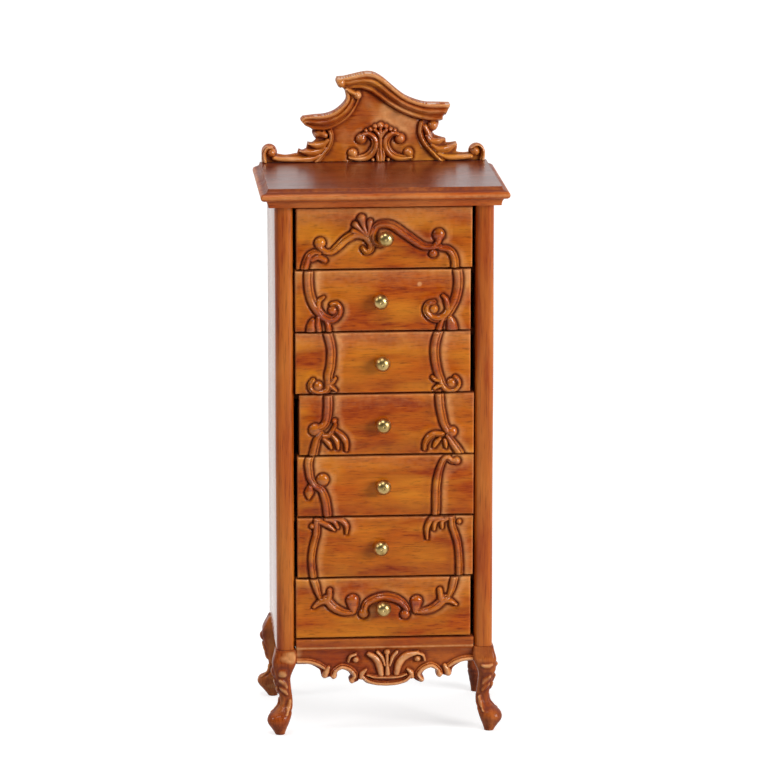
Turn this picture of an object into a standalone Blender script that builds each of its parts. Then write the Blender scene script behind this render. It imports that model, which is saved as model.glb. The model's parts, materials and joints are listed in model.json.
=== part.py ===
"""A dolls' house chest of seven drawers with a carved crest, as separate pieces of wood and brass.

Units are metres and +Z is up. The front looks along -Y, and the origin lies on the floor under the
middle of the top board.
"""
import math

import bmesh
import bpy
from mathutils import Vector

# Case: two side boards, whose front edges read as corner posts, with boards between them.
CASE_WIDTH = 0.0474
CASE_DEPTH = 0.0328
SIDE_THICKNESS = 0.0040
SIDE_EDGE_RADIUS = 0.0008
SIDE_EDGE_SEGMENTS = 3
BACK_THICKNESS = 0.0020
BOTTOM_THICKNESS = 0.0022
DUST_BOARD_THICKNESS = 0.0014

# Clearances: a glue line between fixed pieces, and the room that a drawer needs to run.
GLUE_LINE = 0.00005
RUNNING_GAP = 0.0002
DRAWER_STOP_GAP = 0.0003
DRAWER_BACK_GAP = 0.0012
DRAWER_HEADROOM = 0.0006
FRONT_SIDE_GAP = 0.0007
FRONT_GAP = 0.0004

# Drawers, counted from the top, with the sideways places where they and their knobs sit.
FRONT_HEIGHT = 0.01328
FRONT_THICKNESS = 0.0030
FRONT_EDGE_RADIUS = 0.0003
FRONT_EDGE_SEGMENTS = 2
DRAWER_SIDE_THICKNESS = 0.0016
DRAWER_BACK_THICKNESS = 0.0016
DRAWER_BOTTOM_THICKNESS = 0.0012
DRAWER_SHIFTS = (-0.0001, -0.0004, -0.0004, 0.0004, 0.0004, 0.0003, -0.0002)
KNOB_OFFSETS = (0.0002, -0.0006, -0.0002, -0.0008, -0.0008, -0.0012, -0.0002)

# Knobs, turned in brass: a ball on a neck and collar, with a shank that is glued into the front.
KNOB_DIAMETER = 0.0034
KNOB_REACH = 0.0030
KNOB_COLLAR_DIAMETER = 0.0021
KNOB_COLLAR_THICKNESS = 0.00035
KNOB_NECK_DIAMETER = 0.0015
KNOB_SHANK_DIAMETER = 0.0012
KNOB_SHANK_SETBACK = 0.0003
KNOB_SIDES = 16
KNOB_BALL_STEPS = 7

# Top: a cornice board with a coved edge, under a top board with a bead and a cove.
CORNICE_THICKNESS = 0.0015
CORNICE_REACH = 0.0014
CORNICE_COVE_WIDTH = 0.0005
TOP_THICKNESS = 0.0026
TOP_REACH = 0.0031
TOP_BACK_REACH = 0.0021
TOP_BEAD_SHARE = 0.615
TOP_COVE_WIDTH = 0.0008
BEAD_STEPS = 6
COVE_STEPS = 3

# Crest: a fretted board with two raised mouldings. The drawn points are shares of half its width
# and of its height, because they are one ornament that is drawn to fill that space.
CREST_WIDTH = 0.0496
CREST_HEIGHT = 0.0200
CREST_THICKNESS = 0.0022
CREST_VOLUTE_RADIUS = 0.00175
CREST_VOLUTE_RISE = 0.0023
CREST_MOULDING_PROUD = 0.0018
CREST_MOULDING_SETBACK = 0.0002
CREST_MOULDING_STEP = 0.0003
CREST_UPPER_WIDTH = 0.0042
CREST_LOWER_WIDTH = 0.0030
CREST_LEFT_CARVING = (
    (-0.78, 0.075), (-0.67, 0.10), (-0.657, 0.15), (-0.60, 0.155), (-0.585, 0.225), (-0.51, 0.25),
    (-0.54, 0.32), (-0.55, 0.395), (-0.42, 0.47), (-0.31, 0.55), (-0.25, 0.66), (-0.235, 0.77),
)
CREST_TOP_CARVING = ((-0.22, 0.885), (-0.05, 0.935), (0.08, 0.85), (0.28, 0.66), (0.54, 0.585))
CREST_RIGHT_CARVING = (
    (0.585, 0.46), (0.55, 0.345), (0.525, 0.32), (0.575, 0.275), (0.64, 0.255), (0.65, 0.195),
    (0.735, 0.205), (0.745, 0.095), (0.80, 0.08),
)
CREST_UPPER_LINE = (
    (-0.335, 0.91), (-0.2, 0.965), (-0.05, 1.0), (0.09, 0.925), (0.27, 0.745), (0.46, 0.655),
    (0.675, 0.64),
)
CREST_LOWER_LINE = (
    (-0.645, 0.48), (-0.53, 0.525), (-0.43, 0.54), (-0.35, 0.575), (-0.28, 0.64), (-0.25, 0.72),
    (-0.257, 0.81),
)
MOULDING_END_SHARE = 0.55
VOLUTE_STEPS = 8
CURVE_STEPS = 4

# Apron: a rail under the lowest drawer, with a thinner fretted edge below it. The drawn points are
# shares of half its span and of its height, measured down, from the middle to one end.
APRON_HEIGHT = 0.0110
APRON_RAIL_HEIGHT = 0.0025
APRON_THICKNESS = 0.0029
APRON_FIELD_SETBACK = 0.0005
APRON_STEPS = 3
APRON_EDGE = (
    (0.0, 1.0), (0.11, 0.985), (0.2, 0.945), (0.29, 0.87), (0.36, 0.92), (0.42, 0.88), (0.415, 0.76),
    (0.46, 0.68), (0.535, 0.66), (0.565, 0.75), (0.6, 0.835), (0.65, 0.79), (0.71, 0.815), (0.765, 0.76),
    (0.765, 0.63), (0.83, 0.55), (1.0, 0.525),
)

# Legs: square at the top, swelling at the knee, thin at the ankle and turned out at the toe. A rise
# is a share of the leg's height. A reach is how far a section stands out past the case, and is
# negative where it lies inside. Squareness 2 is a circle, and more is nearer to a square. The rear
# legs spread further to the sides by the last size, from the knee to the toe.
LEG_HEIGHT = 0.0191
LEG_BLOCK_WIDTH = 0.0044
LEG_BLOCK_REACH = 0.00025
LEG_BLOCK_SQUARENESS = 8.0
LEG_KNEE_RISE = 0.84
LEG_KNEE_WIDTH = 0.0049
LEG_KNEE_REACH = 0.00095
LEG_KNEE_SQUARENESS = 5.0
LEG_ANKLE_RISE = 0.41
LEG_ANKLE_WIDTH = 0.0029
LEG_ANKLE_REACH = -0.0006
LEG_ANKLE_SQUARENESS = 3.0
LEG_TOE_RISE = 0.173
LEG_TOE_WIDTH = 0.0050
LEG_TOE_REACH = 0.0022
LEG_TOE_SQUARENESS = 2.4
LEG_PAD_WIDTH = 0.0022
LEG_PAD_REACH = 0.0004
LEG_PAD_SQUARENESS = 2.0
REAR_LEG_INSET = 0.0005
REAR_LEG_SPREAD = 0.0009
REAR_TOE_SPREAD_SHARE = 0.7
LEG_SIDES = 16
LEG_STEPS = 4

# Finishes: colour, roughness and metallic value.
CARVED_WOOD = ((0.42, 0.14, 0.035), 0.38, 0.0)
TOP_WOOD = ((0.20, 0.055, 0.022), 0.22, 0.0)
BARE_WOOD = ((0.46, 0.27, 0.12), 0.70, 0.0)
BRASS = ((0.78, 0.60, 0.26), 0.22, 1.0)

# Places that follow from the sizes above.
DRAWER_COUNT = len(DRAWER_SHIFTS)
DRAWER_PITCH = FRONT_HEIGHT + FRONT_GAP
FRONT_Y = TOP_REACH - (CASE_DEPTH + TOP_REACH + TOP_BACK_REACH) / 2
BACK_Y = FRONT_Y + CASE_DEPTH
BACK_INNER_Y = BACK_Y - BACK_THICKNESS
SIDE_X = CASE_WIDTH / 2
OPENING_X = SIDE_X - SIDE_THICKNESS
BETWEEN_SIDES_X = OPENING_X - GLUE_LINE
CASE_BOTTOM = LEG_HEIGHT + GLUE_LINE
DRAWER_FLOOR = CASE_BOTTOM + BOTTOM_THICKNESS
CASE_TOP = DRAWER_FLOOR + DRAWER_COUNT * DRAWER_PITCH + FRONT_GAP
CORNICE_BASE = CASE_TOP + GLUE_LINE
TOP_BASE = CORNICE_BASE + CORNICE_THICKNESS + GLUE_LINE
CREST_BASE = TOP_BASE + TOP_THICKNESS + GLUE_LINE
KNOB_SHANK_LENGTH = FRONT_THICKNESS - KNOB_SHANK_SETBACK
KNOB_HOLE_LENGTH = 4 * FRONT_THICKNESS

# Fine settings for the meshes: points closer than the first are one, corners up to the second look round.
MERGE_DISTANCE = GLUE_LINE / 10
ROUND_ANGLE = math.radians(35)


def clear_scene():
    """Empty the scene, so that the chest stands alone in it."""
    for thing in list(bpy.data.objects):
        bpy.data.objects.remove(thing, do_unlink=True)


def new_collection(name):
    """Make a collection in the scene."""
    group = bpy.data.collections.new(name)
    bpy.context.scene.collection.children.link(group)
    return group


def finish(piece, look):
    """Give a piece its own material."""
    colour, roughness, metallic = look
    material = bpy.data.materials.new(piece.name + "_finish")
    material.use_nodes = True
    shader = material.node_tree.nodes["Principled BSDF"]
    shader.inputs["Base Color"].default_value = (*colour, 1.0)
    shader.inputs["Roughness"].default_value = roughness
    shader.inputs["Metallic"].default_value = metallic
    piece.data.materials.clear()
    piece.data.materials.append(material)


def add_piece(name, mesh, look, parent=None):
    """Put a mesh in the scene as a named piece, on a parent if it moves."""
    piece = bpy.data.objects.new(name, mesh)
    piece.parent = parent
    chest.objects.link(piece)
    finish(piece, look)
    return piece


def mesh_from(shape, name):
    """Turn a bmesh into mesh data, with its faces pointing out."""
    bmesh.ops.recalc_face_normals(shape, faces=shape.faces)
    mesh = bpy.data.meshes.new(name)
    shape.to_mesh(mesh)
    shape.free()
    return mesh


def shade_round(piece):
    """Shade a round piece smooth, but keep its real corners sharp."""
    piece.data.shade_smooth()
    piece.data.set_sharp_from_angle(angle=ROUND_ANGLE)


def box(name, low, high, look, parent=None, eased=None):
    """Make a board between two corners. eased is (edge test, radius, segments) for rounded edges."""
    low, high = Vector(low), Vector(high)
    shape = bmesh.new()
    bmesh.ops.create_cube(shape, size=1.0)
    bmesh.ops.scale(shape, vec=high - low, verts=shape.verts)
    if eased:
        test, radius, segments = eased
        edges = [edge for edge in shape.edges if test(edge)]
        bmesh.ops.bevel(shape, geom=edges, offset=radius, segments=segments, profile=0.5, affect="EDGES")
    board = add_piece(name, mesh_from(shape, name), look, parent)
    board.location = (low + high) / 2
    return board


def front_edge(edge):
    """True for the four edges round the front face of a board."""
    return all(vert.co.y < 0 for vert in edge.verts)


def front_upright(edge):
    """True for the two upright edges at the front of a board."""
    one, other = edge.verts
    return front_edge(edge) and one.co.x * other.co.x > 0 > one.co.z * other.co.z


def moulded_board(name, base, profile, back_y, look):
    """Extrude a rectangle up a profile of (reach, height). The back stays straight."""
    shape = bmesh.new()
    bmesh.ops.create_grid(shape, x_segments=1, y_segments=1, size=1.0)
    face = next(iter(shape.faces))
    for step, (reach, height) in enumerate(profile):
        if step:
            grown = bmesh.ops.extrude_face_region(shape, geom=[face])["geom"]
            if step > 1:
                bmesh.ops.delete(shape, geom=[face], context="FACES_ONLY")
            face = next(item for item in grown if isinstance(item, bmesh.types.BMFace))
        for vert in face.verts:
            side = math.copysign(SIDE_X + reach, vert.co.x)
            depth = back_y if vert.co.y > 0 else FRONT_Y - reach
            vert.co = (side, depth, base + height)
    return add_piece(name, mesh_from(shape, name), look)


def smooth_line(points, steps):
    """Points along a smooth curve through the drawn points (a Catmull-Rom spline)."""
    knots = [Vector(point) for point in points]
    knots = [2 * knots[0] - knots[1], *knots, 2 * knots[-1] - knots[-2]]
    line = []
    for before, start, end, after in zip(knots, knots[1:], knots[2:], knots[3:]):
        for step in range(steps):
            t = step / steps
            bend = 2 * before - 5 * start + 4 * end - after
            twist = 3 * start - before - 3 * end + after
            line.append((2 * start + (end - before) * t + bend * t ** 2 + twist * t ** 3) / 2)
    line.append(knots[-2])
    return line


def arc(centre, radius, start, end, steps):
    """Points along an arc, with its angles in degrees."""
    angles = [math.radians(start + (end - start) * step / steps) for step in range(steps + 1)]
    return [Vector((centre[0] + radius * math.cos(a), centre[1] + radius * math.sin(a))) for a in angles]


def plate(name, outline, thickness, front):
    """Make an upright mesh plate from an outline of (across, up) points, behind its own front."""
    curve = bpy.data.curves.new(name, "CURVE")
    curve.dimensions = "2D"
    curve.fill_mode = "BOTH"
    curve.extrude = thickness / 2
    spline = curve.splines.new("POLY")
    spline.points.add(len(outline) - 1)
    for point, (across, up) in zip(spline.points, outline):
        point.co = (across, up, 0.0, 1.0)
    spline.use_cyclic_u = True
    drawn = bpy.data.objects.new(name + "_outline", curve)
    cutters.objects.link(drawn)
    view = bpy.context.evaluated_depsgraph_get()
    mesh = bpy.data.meshes.new_from_object(drawn.evaluated_get(view))
    bpy.data.objects.remove(drawn, do_unlink=True)
    shape = bmesh.new()
    shape.from_mesh(mesh)
    bmesh.ops.remove_doubles(shape, verts=shape.verts, dist=MERGE_DISTANCE)
    for vert in shape.verts:
        across, up, depth = vert.co
        vert.co = (across, front + thickness / 2 - depth, up)
    return mesh_from(shape, name)


def as_cutter(name, mesh, parent=None):
    """Put a mesh in the scene as a helper for a Boolean."""
    helper = bpy.data.objects.new(name, mesh)
    helper.parent = parent
    helper.hide_render = True
    helper.display_type = "WIRE"
    cutters.objects.link(helper)
    return helper


def combine(piece, helper, operation):
    """Join a helper to a piece or cut it out, with an exact Boolean."""
    modifier = piece.modifiers.new(operation.lower() + "_" + helper.name, "BOOLEAN")
    modifier.operation = operation
    modifier.object = helper


def make_case():
    """The side boards, back, bottom and dust boards."""
    edges = (front_upright, SIDE_EDGE_RADIUS, SIDE_EDGE_SEGMENTS)
    for word, inner, outer in (("left", -OPENING_X, -SIDE_X), ("right", OPENING_X, SIDE_X)):
        low = (min(inner, outer), FRONT_Y, CASE_BOTTOM)
        high = (max(inner, outer), BACK_Y, CASE_TOP)
        board = box(word + "_side_board", low, high, CARVED_WOOD, eased=edges)
        shade_round(board)
    low = (-BETWEEN_SIDES_X, BACK_INNER_Y, CASE_BOTTOM)
    box("back_panel", low, (BETWEEN_SIDES_X, BACK_Y, CASE_TOP), BARE_WOOD)
    inner_back = BACK_INNER_Y - GLUE_LINE
    low = (-BETWEEN_SIDES_X, FRONT_Y + APRON_THICKNESS + GLUE_LINE, CASE_BOTTOM)
    box("bottom_board", low, (BETWEEN_SIDES_X, inner_back, DRAWER_FLOOR), BARE_WOOD)
    board_front = FRONT_Y + FRONT_THICKNESS + DRAWER_STOP_GAP
    for count in range(1, DRAWER_COUNT):
        top = drawer_floor(count)
        low = (-BETWEEN_SIDES_X, board_front, top - DUST_BOARD_THICKNESS)
        box(f"dust_board_{count}", low, (BETWEEN_SIDES_X, inner_back, top), BARE_WOOD)


def drawer_floor(count):
    """The height of the board that drawer number count, from the top, runs on."""
    return DRAWER_FLOOR + (DRAWER_COUNT - count) * DRAWER_PITCH


def make_top():
    """The cornice board, and the top board with its bead and cove."""
    turns = [math.pi / 2 * step / COVE_STEPS for step in range(COVE_STEPS + 1)]
    cove = []
    for a in turns:
        cove.append((CORNICE_REACH + CORNICE_COVE_WIDTH * (1 - math.cos(a)), CORNICE_THICKNESS * math.sin(a)))
    moulded_board("cornice_board", CORNICE_BASE, cove, BACK_Y, CARVED_WOOD)
    bead = TOP_BEAD_SHARE * TOP_THICKNESS
    radius = bead / 2
    bead_turns = [math.pi * (step / BEAD_STEPS - 0.5) for step in range(BEAD_STEPS + 1)]
    profile = [(TOP_REACH - radius + radius * math.cos(a), radius + radius * math.sin(a)) for a in bead_turns]
    rise = TOP_THICKNESS - bead
    inner = TOP_REACH - radius
    for a in turns[1:]:
        profile.append((inner - TOP_COVE_WIDTH * math.sin(a), bead + rise * (1 - math.cos(a))))
    top = moulded_board("top_board", TOP_BASE, profile, BACK_Y + TOP_BACK_REACH, TOP_WOOD)
    shade_round(top)


def crest_points(shares):
    """Drawn shares of the crest as real places."""
    return [Vector((across * CREST_WIDTH / 2, up * CREST_HEIGHT)) for across, up in shares]


def moulding_outline(line, width):
    """A band below a drawn line, narrower at its start."""
    upper = smooth_line(crest_points(line), CURVE_STEPS)
    lower = []
    for index, point in enumerate(upper):
        ahead = upper[min(index + 1, len(upper) - 1)] - upper[max(index - 1, 0)]
        inward = Vector((ahead.y, -ahead.x)).normalized()
        share = min(1.0, MOULDING_END_SHARE + index / len(upper))
        lower.append(point + inward * width * share)
    return upper + lower[::-1]


def make_crest():
    """The fretted board with its end volutes, joined to the two raised mouldings."""
    half = CREST_WIDTH / 2
    centre = half - CREST_VOLUTE_RADIUS
    outline = [Vector((-half, 0.0))]
    outline += arc((-centre, CREST_VOLUTE_RISE), CREST_VOLUTE_RADIUS, 180, 0, VOLUTE_STEPS)
    outline += crest_points(CREST_LEFT_CARVING)
    outline += smooth_line(crest_points(CREST_TOP_CARVING), CURVE_STEPS)
    outline += crest_points(CREST_RIGHT_CARVING)
    outline += arc((centre, CREST_VOLUTE_RISE), CREST_VOLUTE_RADIUS, 180, 0, VOLUTE_STEPS)
    outline += [Vector((half, 0.0))]
    place = (0.0, BACK_Y + TOP_BACK_REACH - CREST_THICKNESS, CREST_BASE)
    crest = add_piece("crest_board", plate("crest_board", outline, CREST_THICKNESS, 0.0), CARVED_WOOD)
    crest.location = place
    back = CREST_THICKNESS - CREST_MOULDING_SETBACK
    for word, line, width, proud in (
        ("upper", CREST_UPPER_LINE, CREST_UPPER_WIDTH, CREST_MOULDING_PROUD),
        ("lower", CREST_LOWER_LINE, CREST_LOWER_WIDTH, CREST_MOULDING_PROUD - CREST_MOULDING_STEP),
    ):
        name = f"crest_{word}_moulding"
        band = as_cutter(name, plate(name, moulding_outline(line, width), back + proud, -proud))
        band.location = place
        combine(crest, band, "UNION")
        back -= CREST_MOULDING_STEP


def make_apron():
    """The rail and the fretted edge that hangs between the front legs."""
    leg_inner = SIDE_X - max(LEG_BLOCK_WIDTH - LEG_BLOCK_REACH, LEG_KNEE_WIDTH - LEG_KNEE_REACH)
    span = min(OPENING_X, leg_inner) - GLUE_LINE
    drawn = [(across * span, -down * APRON_HEIGHT) for across, down in APRON_EDGE]
    half = smooth_line(drawn, APRON_STEPS)
    mirrored = [Vector((-point.x, point.y)) for point in half[:0:-1]]
    outline = mirrored + half + [Vector((span, 0.0)), Vector((-span, 0.0))]
    place = (0.0, FRONT_Y, DRAWER_FLOOR)
    apron = add_piece("front_apron", plate("front_apron", outline, APRON_THICKNESS, 0.0), CARVED_WOOD)
    apron.location = place
    wide = 2 * span
    deep = 2 * APRON_HEIGHT
    cut = [(-wide, -deep), (wide, -deep), (wide, -APRON_RAIL_HEIGHT), (-wide, -APRON_RAIL_HEIGHT)]
    field = as_cutter("apron_field", plate("apron_field", cut, 2 * APRON_FIELD_SETBACK, -APRON_FIELD_SETBACK))
    field.location = place
    combine(apron, field, "DIFFERENCE")


def leg_sections():
    """Sections down a leg, eased between the named ones: height, reach, width, squareness, spread share."""
    named = (
        (LEG_HEIGHT, LEG_BLOCK_REACH, LEG_BLOCK_WIDTH, LEG_BLOCK_SQUARENESS, 0.0),
        (LEG_KNEE_RISE * LEG_HEIGHT, LEG_KNEE_REACH, LEG_KNEE_WIDTH, LEG_KNEE_SQUARENESS, 1.0),
        (LEG_ANKLE_RISE * LEG_HEIGHT, LEG_ANKLE_REACH, LEG_ANKLE_WIDTH, LEG_ANKLE_SQUARENESS, 1.0),
        (LEG_TOE_RISE * LEG_HEIGHT, LEG_TOE_REACH, LEG_TOE_WIDTH, LEG_TOE_SQUARENESS, REAR_TOE_SPREAD_SHARE),
        (0.0, LEG_PAD_REACH, LEG_PAD_WIDTH, LEG_PAD_SQUARENESS, 0.0),
    )
    sections = [named[0]]
    for upper, lower in zip(named, named[1:]):
        for step in range(1, LEG_STEPS + 1):
            t = step / LEG_STEPS
            turn = 1 - math.sqrt(1 - t * t) if lower is named[-1] else t * t * (3 - 2 * t)
            height = upper[0] + (lower[0] - upper[0]) * t
            rest = [a + (b - a) * turn for a, b in zip(upper[1:], lower[1:])]
            sections.append((height, *rest))
    return sections


def make_leg(name, side, end, corner_y, spread):
    """Loft a leg at a corner of the case. side and end are the signs of its outward X and Y."""
    shape = bmesh.new()
    rings = []
    for height, reach, width, squareness, share in leg_sections():
        ring = []
        for number in range(LEG_SIDES):
            angle = 2 * math.pi * (number + 0.5) / LEG_SIDES
            power = 2 / squareness
            across = math.copysign(abs(math.cos(angle)) ** power, math.cos(angle)) * width / 2
            along = math.copysign(abs(math.sin(angle)) ** power, math.sin(angle)) * width / 2
            middle = reach - width / 2
            x = side * (SIDE_X + middle + spread * share) + across
            y = corner_y + end * middle + along
            ring.append(shape.verts.new((x, y, height)))
        rings.append(ring)
    for upper, lower in zip(rings, rings[1:]):
        for number in range(LEG_SIDES):
            after = (number + 1) % LEG_SIDES
            shape.faces.new((upper[number], upper[after], lower[after], lower[number]))
    shape.faces.new(rings[0])
    shape.faces.new(rings[-1])
    shade_round(add_piece(name, mesh_from(shape, name), CARVED_WOOD))


def make_legs():
    """Four legs, with the rear pair set in from the back."""
    for word, side in (("left", -1), ("right", 1)):
        make_leg(f"front_{word}_leg", side, -1, FRONT_Y, 0.0)
        make_leg(f"rear_{word}_leg", side, 1, BACK_Y - REAR_LEG_INSET, REAR_LEG_SPREAD)


def knob_profile():
    """Radius and reach down the outer side of a knob, from its face to the end of its shank."""
    ball = KNOB_DIAMETER / 2
    neck = KNOB_NECK_DIAMETER / 2
    collar = KNOB_COLLAR_DIAMETER / 2
    shank = KNOB_SHANK_DIAMETER / 2
    half_height = (KNOB_REACH - KNOB_COLLAR_THICKNESS) / 2
    middle = KNOB_REACH - half_height
    last = math.acos(neck / ball)
    profile = []
    for step in range(KNOB_BALL_STEPS + 1):
        angle = math.pi / 2 - (math.pi / 2 + last) * step / KNOB_BALL_STEPS
        profile.append((ball * math.cos(angle), middle + half_height * math.sin(angle)))
    profile[0] = (0.0, KNOB_REACH)
    profile += [(neck, KNOB_COLLAR_THICKNESS), (collar, KNOB_COLLAR_THICKNESS), (collar, GLUE_LINE)]
    profile += [(shank, GLUE_LINE), (shank, -KNOB_SHANK_LENGTH), (0.0, -KNOB_SHANK_LENGTH)]
    return profile


def make_knob(name, across, up, parent):
    """Turn a knob on its own axis and point it forwards."""
    shape = bmesh.new()
    verts = [shape.verts.new((radius, 0.0, reach)) for radius, reach in knob_profile()]
    for start, end in zip(verts, verts[1:]):
        shape.edges.new((start, end))
    mesh = bpy.data.meshes.new(name)
    shape.to_mesh(mesh)
    shape.free()
    knob = add_piece(name, mesh, BRASS, parent)
    knob.location = (across, 0.0, up)
    knob.rotation_euler = (math.radians(90), 0.0, 0.0)
    turned = knob.modifiers.new("turned", "SCREW")
    turned.steps = KNOB_SIDES
    turned.render_steps = KNOB_SIDES
    turned.use_merge_vertices = True
    turned.merge_threshold = MERGE_DISTANCE
    turned.use_smooth_shade = True


def make_hole(name, across, up, parent):
    """A cutter for the hole that a knob's shank is glued into."""
    shape = bmesh.new()
    radius = KNOB_SHANK_DIAMETER / 2 + GLUE_LINE
    bmesh.ops.create_cone(
        shape, cap_ends=True, segments=KNOB_SIDES, radius1=radius, radius2=radius, depth=KNOB_HOLE_LENGTH
    )
    hole = as_cutter(name, mesh_from(shape, name), parent)
    hole.location = (across, 0.0, up)
    hole.rotation_euler = (math.radians(90), 0.0, 0.0)
    return hole


def make_drawer(count, shift, knob_offset):
    """One drawer of front, sides, back, bottom and knob, on an empty at its slide."""
    slide = bpy.data.objects.new(f"drawer_{count}_slide", None)
    slide.location = (shift, FRONT_Y, drawer_floor(count))
    chest.objects.link(slide)
    name = f"drawer_{count}_"
    half = OPENING_X - FRONT_SIDE_GAP
    inner = half - DRAWER_SIDE_THICKNESS
    low = FRONT_GAP
    high = low + FRONT_HEIGHT
    edges = (front_edge, FRONT_EDGE_RADIUS, FRONT_EDGE_SEGMENTS)
    front = box(name + "front", (-half, 0, low), (half, FRONT_THICKNESS, high), CARVED_WOOD, slide, edges)
    middle = (low + high) / 2
    combine(front, make_hole(name + "knob_hole", knob_offset, middle, slide), "DIFFERENCE")
    make_knob(name + "knob", knob_offset, middle, slide)
    start = FRONT_THICKNESS + GLUE_LINE
    end = BACK_INNER_Y - DRAWER_BACK_GAP - FRONT_Y
    top = DRAWER_PITCH - DUST_BOARD_THICKNESS - DRAWER_HEADROOM
    box(name + "left_side", (-half, start, RUNNING_GAP), (-inner, end, top), BARE_WOOD, slide)
    box(name + "right_side", (inner, start, RUNNING_GAP), (half, end, top), BARE_WOOD, slide)
    inner -= GLUE_LINE
    back_front = end - DRAWER_BACK_THICKNESS
    box(name + "back", (-inner, back_front, RUNNING_GAP), (inner, end, top), BARE_WOOD, slide)
    far_corner = (inner, back_front - GLUE_LINE, RUNNING_GAP + DRAWER_BOTTOM_THICKNESS)
    box(name + "bottom", (-inner, start, RUNNING_GAP), far_corner, BARE_WOOD, slide)


clear_scene()
chest = new_collection("miniature_chest_of_drawers")
cutters = new_collection("cutters")
make_case()
make_top()
make_crest()
make_apron()
make_legs()
for number, (drawer_shift, drawer_knob) in enumerate(zip(DRAWER_SHIFTS, KNOB_OFFSETS), start=1):
    make_drawer(number, drawer_shift, drawer_knob)
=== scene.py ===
# %% [markdown]
# # A carved chest of drawers for a dolls' house
#
# The real chest stands about 142 mm tall. Its boards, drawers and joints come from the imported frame,
# and this lesson dresses them: it carves the fronts, turns the knobs, and mixes the stain and varnish.
# All sizes here are in millimetres, because that is how a maker of miniatures would measure it. They
# are turned into Blender's metres only at the moment a mesh is made.

import json
import math

import bmesh
import bpy
import numpy as np
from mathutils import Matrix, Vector

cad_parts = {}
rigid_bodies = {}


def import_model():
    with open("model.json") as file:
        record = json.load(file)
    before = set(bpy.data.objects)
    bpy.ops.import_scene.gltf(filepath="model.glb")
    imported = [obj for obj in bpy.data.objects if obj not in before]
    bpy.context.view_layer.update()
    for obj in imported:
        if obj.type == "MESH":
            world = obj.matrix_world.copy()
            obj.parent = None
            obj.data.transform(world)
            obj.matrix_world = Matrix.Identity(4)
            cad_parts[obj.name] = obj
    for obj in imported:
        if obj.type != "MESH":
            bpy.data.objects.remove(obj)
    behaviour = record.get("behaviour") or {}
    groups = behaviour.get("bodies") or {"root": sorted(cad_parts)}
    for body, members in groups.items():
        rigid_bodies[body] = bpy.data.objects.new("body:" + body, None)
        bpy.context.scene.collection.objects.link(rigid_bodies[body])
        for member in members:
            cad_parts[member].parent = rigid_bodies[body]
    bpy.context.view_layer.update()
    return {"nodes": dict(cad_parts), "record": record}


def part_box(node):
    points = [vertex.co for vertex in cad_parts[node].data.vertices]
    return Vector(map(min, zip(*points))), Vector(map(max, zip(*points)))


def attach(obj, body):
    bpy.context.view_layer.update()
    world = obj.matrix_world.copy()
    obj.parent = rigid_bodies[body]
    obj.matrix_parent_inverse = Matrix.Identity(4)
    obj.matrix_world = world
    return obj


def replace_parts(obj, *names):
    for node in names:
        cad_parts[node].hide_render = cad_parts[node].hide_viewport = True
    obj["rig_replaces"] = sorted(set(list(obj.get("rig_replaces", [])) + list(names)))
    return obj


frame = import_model()
MM = 0.001

# %% [markdown]
# ## Placing pieces
#
# A piece that replaces a frame piece has to sit exactly where that one sits. Its place could be typed in
# again, but then it would be wrong as soon as the frame changed, so `where` reads it from the frame. A
# finished mesh goes through `place`, which hides the frame piece it stands for, lets it ride on the same
# moving body and gives it a material.

# %% Tools for placing pieces
body_of_part = {}
for body, parts in frame["record"]["behaviour"]["bodies"].items():
    for part in parts:
        body_of_part[part] = body


def where(part):
    """The lowest and highest corner of a frame piece, in millimetres."""
    low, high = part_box(part)
    return np.array(low) / MM, np.array(high) / MM


def place(mesh, part, material):
    """Put a mesh in the scene in place of a frame piece."""
    piece = bpy.data.objects.new("shown_" + part, mesh)
    bpy.context.scene.collection.objects.link(piece)
    mesh.materials.append(material)
    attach(piece, body_of_part[part])
    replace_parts(piece, part)


print("moving bodies:", sorted(set(body_of_part.values())))

# %% [markdown]
# ## Making meshes
#
# Carved wood has few flat faces, so most pieces are worked out point by point. Blender gets the points
# and faces, turns the faces outwards, and shades them smooth except over sharp edges. A mask is one
# number per point that is stored on the mesh. A material can read it later, and so it knows where the
# hollows and the rubbed edges are without a painted image.

# %% Tools for meshes
SHARP_EDGE = math.radians(50)


def mesh_from_points(name, points, faces):
    """Make a smooth mesh from points in millimetres. Its faces are turned to point outwards."""
    mesh = bpy.data.meshes.new(name)
    mesh.from_pydata(np.asarray(points) * MM, [], faces)
    shape = bmesh.new()
    shape.from_mesh(mesh)
    bmesh.ops.recalc_face_normals(shape, faces=shape.faces)
    shape.to_mesh(mesh)
    shape.free()
    mesh.shade_smooth()
    mesh.set_sharp_from_angle(angle=SHARP_EDGE)
    return mesh


def add_mask(mesh, name, values):
    """Store one number per point on a mesh, for its material to read."""
    layer = mesh.attributes.new(name, "FLOAT", "POINT")
    layer.data.foreach_set("value", np.asarray(values, dtype=np.float32))


print("edges over", round(math.degrees(SHARP_EDGE)), "degrees stay sharp")

# %% [markdown]
# ## Drawing curves
#
# Rococo carving is all curves. A curve here is a few drawn points, and `smooth_line` runs a soft line
# through every one of them, the way a thin batten is bent round a few pins. A Blender curve object could
# do the same, but here the points are needed as numbers for the carving.

# %% Tools for curves
LINE_STEP = 0.2
ARC_POINTS = 24


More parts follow.
